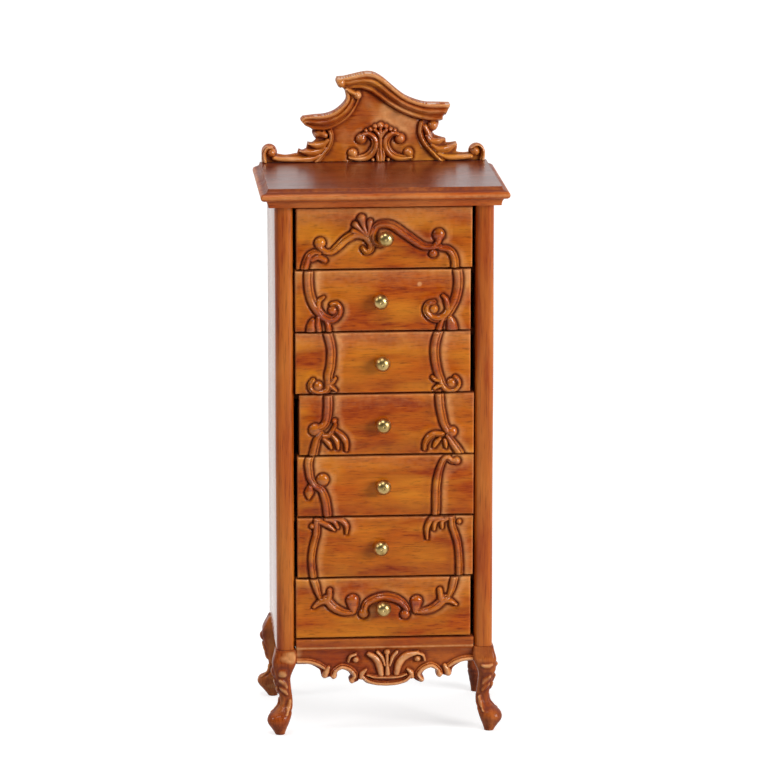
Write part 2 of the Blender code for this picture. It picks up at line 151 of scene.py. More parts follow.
def smooth_line(points, step=LINE_STEP):
    """Closely spaced points along a soft curve through the drawn points."""
    drawn = np.array(points, float)
    if len(drawn) == 1:
        return drawn
    drawn = np.vstack([2 * drawn[0] - drawn[1], drawn, 2 * drawn[-1] - drawn[-2]])
    line = []
    for before, start, end, after in zip(drawn, drawn[1:], drawn[2:], drawn[3:]):
        count = max(2, math.ceil(np.linalg.norm(end - start) / step))
        t = np.linspace(0, 1, count, endpoint=False)[:, None]
        bend = 2 * before - 5 * start + 4 * end - after
        twist = 3 * start - before - 3 * end + after
        line.append((2 * start + (end - before) * t + bend * t**2 + twist * t**3) / 2)
    return np.vstack([*line, drawn[-2:-1]])


def arc(centre, radius, start, end):
    """Points along an arc, with its angles in degrees."""
    angles = np.radians(np.linspace(start, end, ARC_POINTS))
    return np.column_stack([centre[0] + radius * np.cos(angles), centre[1] + radius * np.sin(angles)])


print("a test curve has", len(smooth_line([(0, 0), (1, 1), (2, 0)])), "points")

# %% [markdown]
# ## Measuring from a curve
#
# A fretsaw follows an outline, and everything near it depends on how far it lies from the cut: the eased
# edge, the worn corner, the end of the board. So an outline is used as a distance that is known at each
# place of a grid, negative inside. The same measure gives the depth of a moulding between its two edges.

# %% Tools for distances
TINY = 1e-12
HAIR = 1e-6


def distance_to_line(across, up, line):
    """How far each place of a grid lies from a line of points."""
    nearest = np.full(across.shape, np.inf)
    for (x0, z0), (x1, z1) in zip(line, line[1:]):
        dx, dz = x1 - x0, z1 - z0
        length = dx * dx + dz * dz + TINY
        t = np.clip(((across - x0) * dx + (up - z0) * dz) / length, 0, 1)
        nearest = np.minimum(nearest, (across - x0 - t * dx) ** 2 + (up - z0 - t * dz) ** 2)
    return np.sqrt(nearest)


def inside_outline(across, up, outline):
    """True for each place of a grid that lies inside a closed outline."""
    inside = np.zeros(across.shape, bool)
    for (x0, z0), (x1, z1) in zip(outline, np.roll(outline, -1, axis=0)):
        if z0 == z1:
            continue
        crosses = (z0 > up) != (z1 > up)
        inside ^= crosses & (across < x0 + (up - z0) * (x1 - x0) / (z1 - z0))
    return inside


def outline_distance(across, up, outline):
    """Distance to a closed outline, negative inside it."""
    gap = distance_to_line(across, up, np.vstack([outline, outline[:1]]))
    return np.where(inside_outline(across, up, outline), -gap, gap)


def rectangle_distance(across, up, low, high):
    """Distance to a plain board's edge, a hair below zero on the edge itself."""
    beside = np.abs(across - (low[0] + high[0]) / 2) - (high[0] - low[0]) / 2
    above = np.abs(up - (low[1] + high[1]) / 2) - (high[1] - low[1]) / 2
    return np.maximum(beside, above) - HAIR


square_middle = rectangle_distance(np.zeros(1), np.zeros(1), (-1, -1), (1, 1))[0]
print("the middle of a 2 mm square lies at", round(float(square_middle), 3), "mm")

# %% [markdown]
# ## Strokes of the carver
#
# A carver first draws the scrolls as strokes. Here a stroke is a curve with a width that changes along
# it. A **band** is a scroll with a thin rim along its left-hand side, which shows as the double line on
# the real scrolls. A **leaf** and a **ball** are plain domes.

# %% Tools for strokes
RIM_PLACE = 0.42


def band(points, *widths):
    """A scroll along a curve, with a thin rim along its left-hand side."""
    return points, widths, RIM_PLACE


def leaf(points, *widths):
    """A rounded leaf or petal along a curve."""
    return points, widths, 0.0


def ball(point, radius):
    """A rounded boss."""
    return [point], (2 * radius,), 0.0


def mirrored(strokes, middle):
    """The same strokes on the other side of an upright line."""
    return [([(2 * middle - x, z) for x, z in points], widths, -rim) for points, widths, rim in strokes]


print("a rim lies at", RIM_PLACE, "of the way from a scroll's middle to its edge")

# %% [markdown]
# ## Cutting the strokes
#
# `carve` gives two things for every place on a board: how far it is from the nearest stroke, and how high
# a stroke stands there. Where strokes cross, the higher one wins, as it does under a gouge. Modelling
# each scroll as its own tube would leave seams where they meet, so all of them share one height.

# %% Tool for cutting strokes
ROUNDNESS = 2.1
RIM_DEPTH = 0.34
RIM_WIDTH = 0.17
STROKE_MARGIN = 3.0


def carve(across, up, strokes):
    """Distance to the nearest stroke (negative inside it), and the share of full height there."""
    gap = np.full(across.shape, STROKE_MARGIN)
    rise = np.zeros(across.shape)
    for points, widths, rim in strokes:
        line = smooth_line(points)
        radii = np.interp(np.linspace(0, 1, len(line)), np.linspace(0, 1, len(widths)), widths) / 2
        low = line.min(axis=0) - STROKE_MARGIN
        high = line.max(axis=0) + STROKE_MARGIN
        near = (across > low[0]) & (across < high[0]) & (up > low[1]) & (up < high[1])
        x, z = across[near], up[near]
        away = np.hypot(x[:, None] - line[:, 0], z[:, None] - line[:, 1])
        best = np.argmin(away - radii, axis=1)
        away = away[np.arange(len(best)), best]
        reach = away / radii[best]
        dome = np.sqrt(np.clip(1 - reach**ROUNDNESS, 0, 1))
        if rim:
            ahead_x, ahead_z = np.gradient(line, axis=0)[best].T
            turn = ahead_x * (z - line[best, 1]) - ahead_z * (x - line[best, 0])
            valley = (reach * np.sign(turn) - rim) / RIM_WIDTH
            dome -= RIM_DEPTH * np.exp(-(valley**2)) * (reach < 1)
        gap[near] = np.minimum(gap[near], away - radii[best])
        rise[near] = np.maximum(rise[near], dome)
    return gap, rise


print("strokes are measured within", STROKE_MARGIN, "mm of them")

# %% [markdown]
# ## Soft and uneven surfaces
#
# Nothing on a hand-made piece is quite even. These tools blur a grid, lay gentle random waves over it,
# and make soft falls and spots. The blur takes the grid apart into waves and weakens the short ones,
# which is quick on a large grid. Each surface has its own seed, so the chest comes out the same every
# time.

# %% Tools for soft surfaces
BLUR_REACH = 4


def soften(values, cells):
    """Blur a grid of values over that many cells."""
    pad = int(BLUR_REACH * cells) + 1
    wide = np.pad(values, pad, mode="edge")
    rows = np.fft.fftfreq(wide.shape[0])[:, None]
    columns = np.fft.fftfreq(wide.shape[1])[None, :]
    gain = np.exp(-2 * (np.pi * cells) ** 2 * (rows**2 + columns**2))
    soft = np.real(np.fft.ifft2(np.fft.fft2(wide) * gain))
    return soft[pad:-pad, pad:-pad]


def unevenness(shape, cells, seed):
    """Gentle random waves, as a hand-worked surface has, about 1 high."""
    waves = soften(np.random.default_rng(seed).normal(size=shape), cells)
    return waves / waves.std()


def fall_off(offset, width, power=2):
    """1 at no offset, and softly down towards 0 beyond that width."""
    return np.exp(-((np.abs(offset) / width) ** power))


def soft_spot(across, up, centre, size):
    """A soft spot that is 1 at its centre, with a size across and a size up."""
    return fall_off(across - centre[0], size[0]) * fall_off(up - centre[1], size[1])


def eased_edge(distance, radius):
    """How far a rounded edge falls back near the outline."""
    t = np.clip(1 + distance / radius, 0, 1)
    return radius * (1 - np.sqrt(1 - t**2))


print("test waves are", round(float(np.ptp(unevenness((40, 40), 3, 1))), 1), "high from end to end")

# %% [markdown]
# ## From heights to a board: the grid
#
# A relief could be sculpted by hand, or a plane could be displaced by a picture. A grid of heights in
# numpy is chosen, because then each scroll has its exact place and the stain follows from the same
# numbers. Squares of the grid inside the outline are kept, and the points along the rim are slid onto the
# outline itself, so that the fretsaw cut is clean and not a staircase.

# %% Tools for grids
LEAST_SLOPE = 0.5
PINCH_ROUNDS = 3


def grid(low, high, step):
    """The places across and up of a grid between two corners, about a step apart."""
    counts = [round((b - a) / step) + 1 for a, b in zip(low, high)]
    return np.meshgrid(np.linspace(low[0], high[0], counts[0]), np.linspace(low[1], high[1], counts[1]))


def kept_squares(distance):
    """The grid squares inside the outline, without squares that touch only at a corner."""
    middle = (distance[:-1, :-1] + distance[1:, :-1] + distance[:-1, 1:] + distance[1:, 1:]) / 4
    kept = middle < 0
    for _ in range(PINCH_ROUNDS):
        a, b, c, d = kept[:-1, :-1], kept[:-1, 1:], kept[1:, :-1], kept[1:, 1:]
        pinch = (a & d & ~b & ~c) | (b & c & ~a & ~d)
        for corner in (a, b, c, d):
            corner |= pinch
    return kept


def rim_points(kept):
    """True for each grid point along the edge of the kept squares."""
    around = np.pad(kept, 1).astype(int)
    touching = around[:-1, :-1] + around[:-1, 1:] + around[1:, :-1] + around[1:, 1:]
    return (touching > 0) & (touching < 4)


def slid_to_outline(across, up, distance, rim):
    """The places of the grid, with the points of the rim slid onto the outline."""
    step = across[0, 1] - across[0, 0]
    slope_up, slope_across = np.gradient(distance, step)
    steep = np.maximum(np.hypot(slope_up, slope_across), LEAST_SLOPE)
    slide = np.where(rim, np.clip(distance / steep, -step, step), 0)
    return across - slide * slope_across / steep, up - slide * slope_up / steep


print("a grid of 1 mm in steps of 0.125 mm has", grid((0, 0), (1, 1), 0.125)[0].shape, "points")

# %% [markdown]
# ## From heights to a board: the faces
#
# A board is a closed piece of wood: the front follows the heights, the back is flat, and walls join them
# along the rim. A Solidify modifier could thicken a front, but the back would then repeat the relief, so
# the faces are listed here. A kept square gets a wall on each side where its neighbour was cut away.

# %% Tool for the faces of a board
def board_faces(kept, number):
    """Front, walls and back of a board. A point on the back is numbered one whole grid later."""
    corners = (number[:-1, :-1], number[:-1, 1:], number[1:, 1:], number[1:, :-1])
    front = np.stack([corner[kept] for corner in corners], axis=-1)
    around = np.pad(kept, 1)
    neighbours = (around[:-2, 1:-1], around[1:-1, 2:], around[2:, 1:-1], around[1:-1, :-2])
    walls = []
    for side, neighbour in enumerate(neighbours):
        open_side = kept & ~neighbour
        start = corners[side][open_side]
        end = corners[(side + 1) % 4][open_side]
        walls.append(np.stack([end, start, start + number.size, end + number.size], axis=-1))
    return np.concatenate([front, *walls, front[:, ::-1] + number.size])


two_squares = board_faces(np.ones((1, 2), bool), np.arange(6).reshape(2, 3))
print("a board of two squares has", len(two_squares), "faces")

# %% [markdown]
# ## From heights to a board: the masks
#
# `relief_board` puts the points and faces together and leaves three masks on the mesh.
# **glaze_and_shadow** is where glaze and dirt gather and where shadow is painted, with a dark line along
# the rim; **wear_and_highlight** is where edges are rubbed pale and where highlights are painted. Both
# compare each height with the blurred height around it. **pooled** is where the varnish lies thick. The
# flat back has the same stain all over, as sawn wood has.

# %% Tool for boards in relief
MASK_BLUR = 0.55
MASK_DEPTH = 0.30
SAWN_STAIN = 0.35
# Ridges of the carving are made paler: partly wear, partly a painted highlight on their crests.
RIDGE_WEAR_AND_HIGHLIGHT = 0.45
RIM_RELIEF = -0.17


def relief_board(name, across, up, distance, height, back_y, stained, pale_wear_and_highlight, pooled,
                 ridge_wear_and_highlight=RIDGE_WEAR_AND_HIGHLIGHT, mask_depth=MASK_DEPTH):
    """A closed board with that outline distance, whose front stands height in front of its back."""
    number = np.arange(across.size).reshape(across.shape)
    kept = kept_squares(distance)
    rim = rim_points(kept)
    x, z = slid_to_outline(across, up, distance, rim)
    front = np.stack([x, back_y - height, z], axis=-1).reshape(-1, 3)
    back = np.stack([x, np.full_like(x, back_y), z], axis=-1).reshape(-1, 3)
    faces = board_faces(kept, number)
    used, renumbered = np.unique(faces, return_inverse=True)
    points = np.concatenate([front, back])[used]
    mesh = mesh_from_points(name, points, renumbered.reshape(faces.shape).tolist())
    step = across[0, 1] - across[0, 0]
    relief = np.where(rim, RIM_RELIEF, height - soften(height, MASK_BLUR / step)) / mask_depth
    # The first mask darkens with glaze and painted shadow, the second lightens with wear and painted
    # highlights.
    masks = {
        "glaze_and_shadow": (stained - relief, SAWN_STAIN),
        "wear_and_highlight": (pale_wear_and_highlight + ridge_wear_and_highlight * relief, 0.0),
        "pooled": (np.where(rim, 0, pooled), 0.0),
    }
    for mask, (on_front, on_back) in masks.items():
        values = np.concatenate([np.clip(on_front, 0, 1).ravel(), np.full(number.size, on_back)])
        add_mask(mesh, mask, values[used])
    return mesh


print("masks look at relief within", MASK_BLUR, "mm")

# %% [markdown]
# ## Building materials from nodes
#
# Every look in this scene is a node material. The helpers keep the wiring readable: `node` adds a node
# and fills its inputs, with a number or with another node's output. `new_group` starts a shared effect
# as a node group with its own inputs and outputs, `end_group` finishes it and `use_group` puts it in a
# material.

# %% Tools for node materials
def node(tree, kind, inputs=None, **settings):
    """Add a shader node. An input that is a socket is linked, and any other is set."""
    made = tree.nodes.new("ShaderNode" + kind)
    for key, value in settings.items():
        setattr(made, key, value)
    for key, value in (inputs or {}).items():
        if isinstance(value, bpy.types.NodeSocket):
            tree.links.new(value, made.inputs[key])
        else:
            made.inputs[key].default_value = value
    return made


def new_group(name, inputs, outputs):
    """Start a shared effect. Gives its node tree and the outputs of its input node."""
    tree = bpy.data.node_groups.new(name, "ShaderNodeTree")
    for label, kind, default in inputs:
        socket = tree.interface.new_socket(label, in_out="INPUT", socket_type="NodeSocket" + kind)
        socket.default_value = default
    for label, kind in outputs:
        tree.interface.new_socket(label, in_out="OUTPUT", socket_type="NodeSocket" + kind)
    return tree, tree.nodes.new("NodeGroupInput").outputs


def end_group(tree, **results):
    """Finish a shared effect by linking its results to its output node."""
    end = tree.nodes.new("NodeGroupOutput")
    for label, socket in results.items():
        tree.links.new(socket, end.inputs[label])


def use_group(tree, group, inputs):
    """Use a shared effect in a material, and give its outputs."""
    return node(tree, "Group", inputs, node_tree=group).outputs


print("node helpers:", [tool.__name__ for tool in (node, new_group, end_group, use_group)])

# %% [markdown]
# ## Values and colours in nodes
#
# A few steps come back in every material: a step of arithmetic, a mix of two colours, a value stretched
# from one range to another, the place on the object in millimetres, and a colour as it is seen on screen.
# The Mix node keeps a set of sockets for each kind of data, and those for colours have the numbers below.

# %% Tools for values and colours
MIX_SHARE = 0
MIX_FIRST = 6
MIX_SECOND = 7
MIX_RESULT = 2


def arithmetic(tree, operation, *values):
    """One step of arithmetic with values."""
    return node(tree, "Math", dict(enumerate(values)), operation=operation).outputs[0]


def colour_mix(tree, share, first, second, blend="MIX"):
    """Mix two colours."""
    inputs = {MIX_SHARE: share, MIX_FIRST: first, MIX_SECOND: second}
    return node(tree, "Mix", inputs, data_type="RGBA", blend_type=blend).outputs[MIX_RESULT]


def stretch_range(tree, value, low, high, to_low=0.0, to_high=1.0):
    """Stretch a value from one range to another, and stop at its ends."""
    inputs = {"Value": value, "From Min": low, "From Max": high, "To Min": to_low, "To Max": to_high}
    return node(tree, "MapRange", inputs).outputs["Result"]


def place_in_mm(tree):
    """The place on the object in millimetres."""
    metres = node(tree, "TexCoord").outputs["Object"]
    return node(tree, "VectorMath", {0: metres, 1: (1 / MM, 1 / MM, 1 / MM)}, operation="MULTIPLY").outputs[0]


def shade(red, green, blue):
    """A colour as seen on screen (0 to 255), made linear for the shader."""
    return (*[((v / 255 + 0.055) / 1.055) ** 2.4 for v in (red, green, blue)], 1.0)


print("middle grey is", round(shade(128, 128, 128)[0], 3), "in linear light")

# %% [markdown]
# ## Shared effect: wood grain
#
# Wood is darker and lighter in long streaks that run with the grain, and stain takes unevenly on it in
# soft blotches. The group stretches the place along the grain, so that round noise becomes streaks, and
# mixes three colours by it. `Place` is in millimetres. `Stretch` is small along the grain.

# %% Wood grain
BLOTCH_STRETCH = (0.22, 0.22, 0.22)
# Values of the noise between which each effect goes from none to full.
STREAK_RANGE = (0.72, 1.28)
BLOTCH_RANGE = (0.40, 0.70)
THREAD_RANGE = (0.30, 0.44)
PALEST_BLOTCH = 0.7
DARKEST_THREAD = 0.62

grain, given = new_group(
    "Wood grain",
    [
        ("Place", "Vector", (0, 0, 0)),
        ("Stretch", "Vector", (1, 1, 1)),
        ("Pale", "Color", (1, 1, 1, 1)),
        ("Middle", "Color", (0.5, 0.5, 0.5, 1)),
        ("Deep", "Color", (0, 0, 0, 1)),
    ],
    [("Color", "Color"), ("Streaks", "Float")],
)
along = node(grain, "VectorMath", {0: given["Place"], 1: given["Stretch"]}, operation="MULTIPLY").outputs[0]
broad = node(grain, "TexNoise", {"Vector": along, "Scale": 0.55, "Detail": 3.0, "Distortion": 0.6}).outputs[0]
fine = node(grain, "TexNoise", {"Vector": along, "Scale": 3.2, "Detail": 5.0, "Roughness": 0.62}).outputs[0]
partly = {0: given["Place"], 1: BLOTCH_STRETCH, 2: along}
partly = node(grain, "VectorMath", partly, operation="MULTIPLY_ADD").outputs[0]
blotch = {"Vector": partly, "Scale": 0.15, "Detail": 3.0, "Distortion": 0.4}
blotch = node(grain, "TexNoise", blotch).outputs[0]
streaks = stretch_range(grain, arithmetic(grain, "ADD", broad, fine), *STREAK_RANGE)
body = colour_mix(grain, streaks, given["Deep"], given["Middle"])
pale_share = stretch_range(grain, blotch, *BLOTCH_RANGE, 0.0, PALEST_BLOTCH)
body = colour_mix(grain, pale_share, body, given["Pale"])
threads = stretch_range(grain, fine, *THREAD_RANGE, DARKEST_THREAD, 1.0)
body = colour_mix(grain, 1.0, body, threads, "MULTIPLY")
end_group(grain, Color=body, Streaks=streaks)
print("wood grain group has", len(grain.nodes), "nodes")

# %% [markdown]
# ## Shared effect: glaze, wear and painted light
#
# The maker wiped a dark glaze over the carving. It stayed in the hollows and came off the high places,
# and handling then rubbed the edges paler still. On some boards the two masks also carry painted shadow
# and painted highlights. This group takes the two masks and breaks them up with noise, so that neither
# looks painted on with a stencil. `Sheen` is lower where the glaze and the painted shadow lie.

# %% Glaze, wear and painted light
PATCH_RANGE = (0.3, 0.7)
PATCH_SHARES = (0.55, 1.0)
MOST_GLAZE_AND_SHADOW = 0.85
WEAR_AND_HIGHLIGHT_RANGE = (0.1, 1.0)
MOST_WEAR_AND_HIGHLIGHT = 0.8
FULL_GLAZE_AND_SHADOW = 0.8
SHEEN_UNDER_GLAZE_AND_SHADOW = 0.45

glaze, given = new_group(
    "Glaze, wear and painted light",
    [
        ("Color", "Color", (0.5, 0.5, 0.5, 1)),
        ("Place", "Vector", (0, 0, 0)),
        ("Glaze_and_shadow", "Float", 0.0),
        ("Wear_and_highlight", "Float", 0.0),
        ("Glaze", "Color", (0.02, 0.01, 0.005, 1)),
        ("Wear and highlight colour", "Color", (0.7, 0.4, 0.2, 1)),
    ],
    [("Color", "Color"), ("Sheen", "Float")],
)
patchy = node(glaze, "TexNoise", {"Vector": given["Place"], "Scale": 0.9, "Detail": 4.0}).outputs[0]
patchy = stretch_range(glaze, patchy, *PATCH_RANGE, *PATCH_SHARES)
# Glaze and painted shadow darken the colour; wear and painted highlights make it paler.
dark_share = arithmetic(glaze, "MULTIPLY", given["Glaze_and_shadow"], patchy)
dark_share = stretch_range(glaze, dark_share, 0.0, MOST_GLAZE_AND_SHADOW, 0.0, MOST_GLAZE_AND_SHADOW)
wear_and_highlight_share = arithmetic(glaze, "MULTIPLY", given["Wear_and_highlight"], patchy)
wear_and_highlight_share = stretch_range(glaze, wear_and_highlight_share, *WEAR_AND_HIGHLIGHT_RANGE, 0.0, MOST_WEAR_AND_HIGHLIGHT)
glazed_worn_and_lit = colour_mix(glaze, wear_and_highlight_share, given["Color"], given["Wear and highlight colour"])
glazed_worn_and_lit = colour_mix(glaze, dark_share, glazed_worn_and_lit, given["Glaze"])
sheen = stretch_range(glaze, given["Glaze_and_shadow"], 0.0, FULL_GLAZE_AND_SHADOW, 1.0, SHEEN_UNDER_GLAZE_AND_SHADOW)
end_group(glaze, Color=glazed_worn_and_lit, Sheen=sheen)
print("glaze and wear group has", len(glaze.nodes), "nodes")

# %% [markdown]
# ## Shared effect: brushed varnish
#
# Brushed varnish on something this small is thick for its size. It sinks a little into the grain and
# ripples slightly, so reflections on it waver. The group gives a roughness and a height for a bump.

# %% Brushed varnish
GRAIN_SINK = 0.25
SMEAR_RANGE = (0.35, 0.65)

varnish, given = new_group(
    "Brushed varnish",
    [
        ("Place", "Vector", (0, 0, 0)),
        ("Streaks", "Float", 0.5),
        ("Smoothest", "Float", 0.2),
        ("Roughest", "Float", 0.4),
    ],
    [("Roughness", "Float"), ("Height", "Float")],
)
ripple = node(varnish, "TexNoise", {"Vector": given["Place"], "Scale": 0.7, "Detail": 2.0}).outputs[0]
smear = node(varnish, "TexNoise", {"Vector": given["Place"], "Scale": 0.25, "Detail": 3.0}).outputs[0]
rough = stretch_range(varnish, smear, *SMEAR_RANGE, given["Smoothest"], given["Roughest"])
wavy = arithmetic(varnish, "MULTIPLY_ADD", given["Streaks"], GRAIN_SINK, ripple)
end_group(varnish, Roughness=rough, Height=wavy)
print("brushed varnish group has", len(varnish.nodes), "nodes")

# %% [markdown]
# ## Glazing the carved woods
#
# Carved pieces read their masks here. The glaze group darkens the stained colour with glaze and painted
# shadow and lightens it with wear and painted highlights, and the clear coat, which is the varnish, is thin
# on the flat ground and thick where it pooled on the scrolls. The masks could also be worked out in the
# nodes from how sharply the mesh bends, but only for the renderer: numbers stored on the mesh go along
# with it anywhere.

# %% Tool for glazing
# A dark colour for glaze and painted shadow, and a pale one for wear and painted highlights.
GLAZE_AND_SHADOW_COLOUR = shade(114, 56, 42)
WEAR_AND_HIGHLIGHT_COLOUR = shade(235, 172, 112)


def glaze_and_paint_light(tree, shader, spot, colour, coat):
    """Apply glaze, wear, painted shadow and highlights by the masks, and thicker varnish where it pooled."""
    masks = {"Glaze": GLAZE_AND_SHADOW_COLOUR, "Wear and highlight colour": WEAR_AND_HIGHLIGHT_COLOUR, "Place": spot, "Color": colour}
    for label in ("Glaze_and_shadow", "Wear_and_highlight"):
        masks[label] = node(tree, "Attribute", attribute_name=label.lower()).outputs["Fac"]
    glazed = use_group(tree, glaze, masks)
    pooled = node(tree, "Attribute", attribute_name="pooled").outputs["Fac"]
    thickness = stretch_range(tree, pooled, 0.0, 1.0, coat, 1.0)
    coat_share = arithmetic(tree, "MULTIPLY", glazed["Sheen"], thickness)
    tree.links.new(coat_share, shader.inputs["Coat Weight"])
    return glazed["Color"]


print("glaze in linear light:", [round(part, 3) for part in GLAZE_AND_SHADOW_COLOUR[:3]])

# %% [markdown]
# ## A recipe for the woods
#
# One recipe makes every wood here, from three stain colours (pale, middle and deep) and the direction of
# the grain. Plain pieces do without the masks. On the sides the varnish is what looks almost white at the
# shallow angle of the photograph. What stays the same all over a piece, such as the coat's roughness, is
# set on the shader itself.

# %% Wood recipe
WOOD_GLOSS = 0.02
WAVER = 0.6


def wood(name, stains, stretch, carved=True, coat=0.22, coat_rough=0.13, coat_ior=1.55,
         smoothest=0.26, roughest=0.42, bump=3e-5):
    """A stained and varnished wood with its grain along one direction."""
    material = bpy.data.materials.new(name)
    material.use_nodes = True
    tree = material.node_tree
    shader = tree.nodes["Principled BSDF"]
    spot = place_in_mm(tree)
    colours = {label: shade(*stain) for label, stain in zip(("Pale", "Middle", "Deep"), stains)}
    stained = use_group(tree, grain, {"Place": spot, "Stretch": stretch, **colours})
    brushed = {"Place": spot, "Streaks": stained["Streaks"], "Smoothest": smoothest, "Roughest": roughest}
    coated = use_group(tree, varnish, brushed)
    colour = stained["Color"]
    if carved:
        colour = glaze_and_paint_light(tree, shader, spot, colour, coat)
    else:
        shader.inputs["Coat Weight"].default_value = coat
    waver = node(tree, "Bump", {"Height": coated["Height"], "Strength": WAVER, "Distance": bump}).outputs[0]
    tree.links.new(colour, shader.inputs["Base Color"])
    tree.links.new(coated["Roughness"], shader.inputs["Roughness"])
    tree.links.new(waver, shader.inputs["Normal"])
    shader.inputs["Coat Roughness"].default_value = coat_rough
    shader.inputs["Coat IOR"].default_value = coat_ior
    shader.inputs["Specular IOR Level"].default_value = WOOD_GLOSS
    return material


print("gloss of the wood under its varnish:", WOOD_GLOSS)

# %% [markdown]
# ## The woods that show
#
# The chest is stained a warm reddish walnut. The fronts are the most orange, the legs the brownest, and
# the top is dark with a flat polish. The grain runs across the fronts and up the posts and legs, because
# a maker lays it along the length of each board.

# %% Woods that show
GRAIN_ACROSS = (0.13, 1.0, 1.0)
GRAIN_UP = (1.0, 1.0, 0.05)

front_wood = wood("Carved walnut, drawer fronts", [(222, 139, 36), (190, 88, 14), (140, 46, 7)], GRAIN_ACROSS)
crest_wood = wood("Carved walnut, crest", [(222, 146, 50), (196, 98, 26), (158, 62, 14)], GRAIN_ACROSS)
apron_wood = wood("Carved walnut, apron", [(208, 120, 46), (184, 82, 20), (138, 46, 10)], GRAIN_ACROSS)
edge_wood = wood("Walnut, moulded edges", [(216, 134, 66), (190, 92, 34), (150, 62, 18)], GRAIN_ACROSS)
leg_wood = wood("Carved walnut, legs", [(206, 122, 58), (176, 84, 32), (126, 50, 17)], GRAIN_UP)
post_wood = wood(
    "Walnut, sides", [(208, 124, 46), (188, 92, 24), (144, 56, 10)], GRAIN_UP,
    carved=False, coat=1.0, coat_ior=1.29,
)
top_wood = wood(
    "Polished walnut, top", [(132, 58, 30), (114, 44, 20), (88, 32, 14)], GRAIN_ACROSS,
    carved=False, coat=1.0, coat_rough=0.27, coat_ior=1.35, smoothest=0.3, roughest=0.4, bump=1e-5,
)
print("glazed woods:", [made.name for made in (front_wood, crest_wood, apron_wood, edge_wood, leg_wood)])

# %% [markdown]
# ## The woods inside
#
# Drawer boxes are left bare, as on most miniatures, so that drawers run freely. The back was stained but
# hardly varnished, and the boards behind the fronts took only stain.

# %% Woods inside
GRAIN_DEEP = (1.0, 0.13, 1.0)

inside_wood = wood(
    "Bare wood inside", [(212, 166, 108), (196, 146, 88), (164, 114, 62)], GRAIN_DEEP,
    carved=False, coat=0.0, smoothest=0.55, roughest=0.75,
)
back_wood = wood(
    "Plain stained back", [(150, 90, 50), (132, 74, 38), (104, 54, 26)], GRAIN_UP,
    carved=False, coat=0.1, smoothest=0.4, roughest=0.6,
)
carcass_wood = wood(
    "Stained wood behind the drawers", [(110, 66, 34), (92, 50, 24), (66, 34, 16)], GRAIN_ACROSS,
    carved=False, coat=0.0, smoothest=0.5, roughest=0.7,
)
print("woods inside:", [made.name for made in (inside_wood, back_wood, carcass_wood)])

# %% [markdown]
# ## The brass
#
# The knobs are turned brass, polished but handled. A faint tarnish in the colour and in the roughness
# keeps the metal from looking like a computer's perfect mirror.

# %% Brass
BRIGHT_BRASS = shade(202, 174, 116)
TARNISHED_BRASS = shade(154, 126, 72)
TARNISH_RANGE = (0.4, 0.7)
HANDLED_RANGE = (0.3, 0.7)
BRASS_ROUGHNESS = (0.26, 0.4)

brass = bpy.data.materials.new("Turned brass")
brass.use_nodes = True
tree = brass.node_tree
shader = tree.nodes["Principled BSDF"]
tarnish = node(tree, "TexNoise", {"Vector": place_in_mm(tree), "Scale": 0.9, "Detail": 4.0}).outputs[0]
metal = colour_mix(tree, stretch_range(tree, tarnish, *TARNISH_RANGE), BRIGHT_BRASS, TARNISHED_BRASS)
handled = stretch_range(tree, tarnish, *HANDLED_RANGE, *BRASS_ROUGHNESS)
tree.links.new(metal, shader.inputs["Base Color"])
tree.links.new(handled, shader.inputs["Roughness"])
shader.inputs["Metallic"].default_value = 1.0
print("brass has", len(tree.nodes), "nodes")

# %% [markdown]
# ## What is carved on the upper fronts
#
# The scrolls run over all seven fronts as one ornament, so they are drawn once for the whole front of
# the chest, in millimetres across from the middle and up from the floor. They were drawn from the
# photograph. The two sides are not mirror images: the carver worked freehand, and so does this list.

# %% Scrolls of drawers 1 and 2
carving = {}
carving[1] = [
    band([(-13.1, 107.6), (-11.6, 107.6), (-10, 108.9), (-8.5, 110.3), (-6.7, 111.3), (-5.4, 111.3),
          (-4, 110.7), (-3, 109.3), (-3.1, 108), (-4.1, 107.5), (-4.8, 108.3)], 1.1, 1.8, 2.0, 1.7, 1.0),
    ball((-14, 109.6), 1.25),
    leaf([(-14.2, 109), (-13.6, 108.2), (-12.4, 107.6)], 1.6, 1.2, 0.8),
    band([(-17.3, 104.2), (-16.9, 105.6), (-16.3, 106.9), (-15.2, 107.6), (-14.1, 107.4)], 1.7, 1.6, 1.0),
    leaf([(-15.8, 106), (-14.4, 106.5), (-13, 105.8)], 1.2, 1.4, 1.3),
    leaf([(-3.9, 111.2), (-4.6, 113.2), (-5.1, 114.9)], 1.0, 1.1, 1.9),
    leaf([(-3.6, 111.4), (-3.4, 112.9), (-3.3, 114)], 0.8, 0.9, 1.6),
    leaf([(-3.2, 111.2), (-2.9, 111.8), (-2.7, 112.4)], 0.8, 1.0, 1.4),
    leaf([(-4.2, 111.4), (-5.6, 112.7), (-6.4, 113.6)], 0.8, 1.0, 1.5),
    leaf([(-4.6, 111.2), (-5.9, 111.8), (-6.8, 112.1)], 0.8, 1.0, 1.3),
    band([(-1, 109), (-2, 109.4), (-2.6, 110.4), (-2.4, 112.2), (-1.5, 113.3), (0.5, 113.5), (2.2, 112.8),
          (4.3, 111.3), (6.5, 109.7), (8.3, 108.6), (10.1, 108.4), (11.7, 108.6)], 1.2, 1.7, 2.0, 1.8, 1.1),
    ball((11.6, 111.1), 1.35),
    leaf([(11.6, 110.4), (11.4, 109.4), (10.4, 108.6)], 1.6, 1.2, 0.8),
    ball((10.4, 107), 0.95),
    band([(11.8, 108.2), (13.5, 107.9), (14.6, 106.9), (15.1, 105.4), (15.2, 103.8)], 1.2, 1.6, 1.7),
]
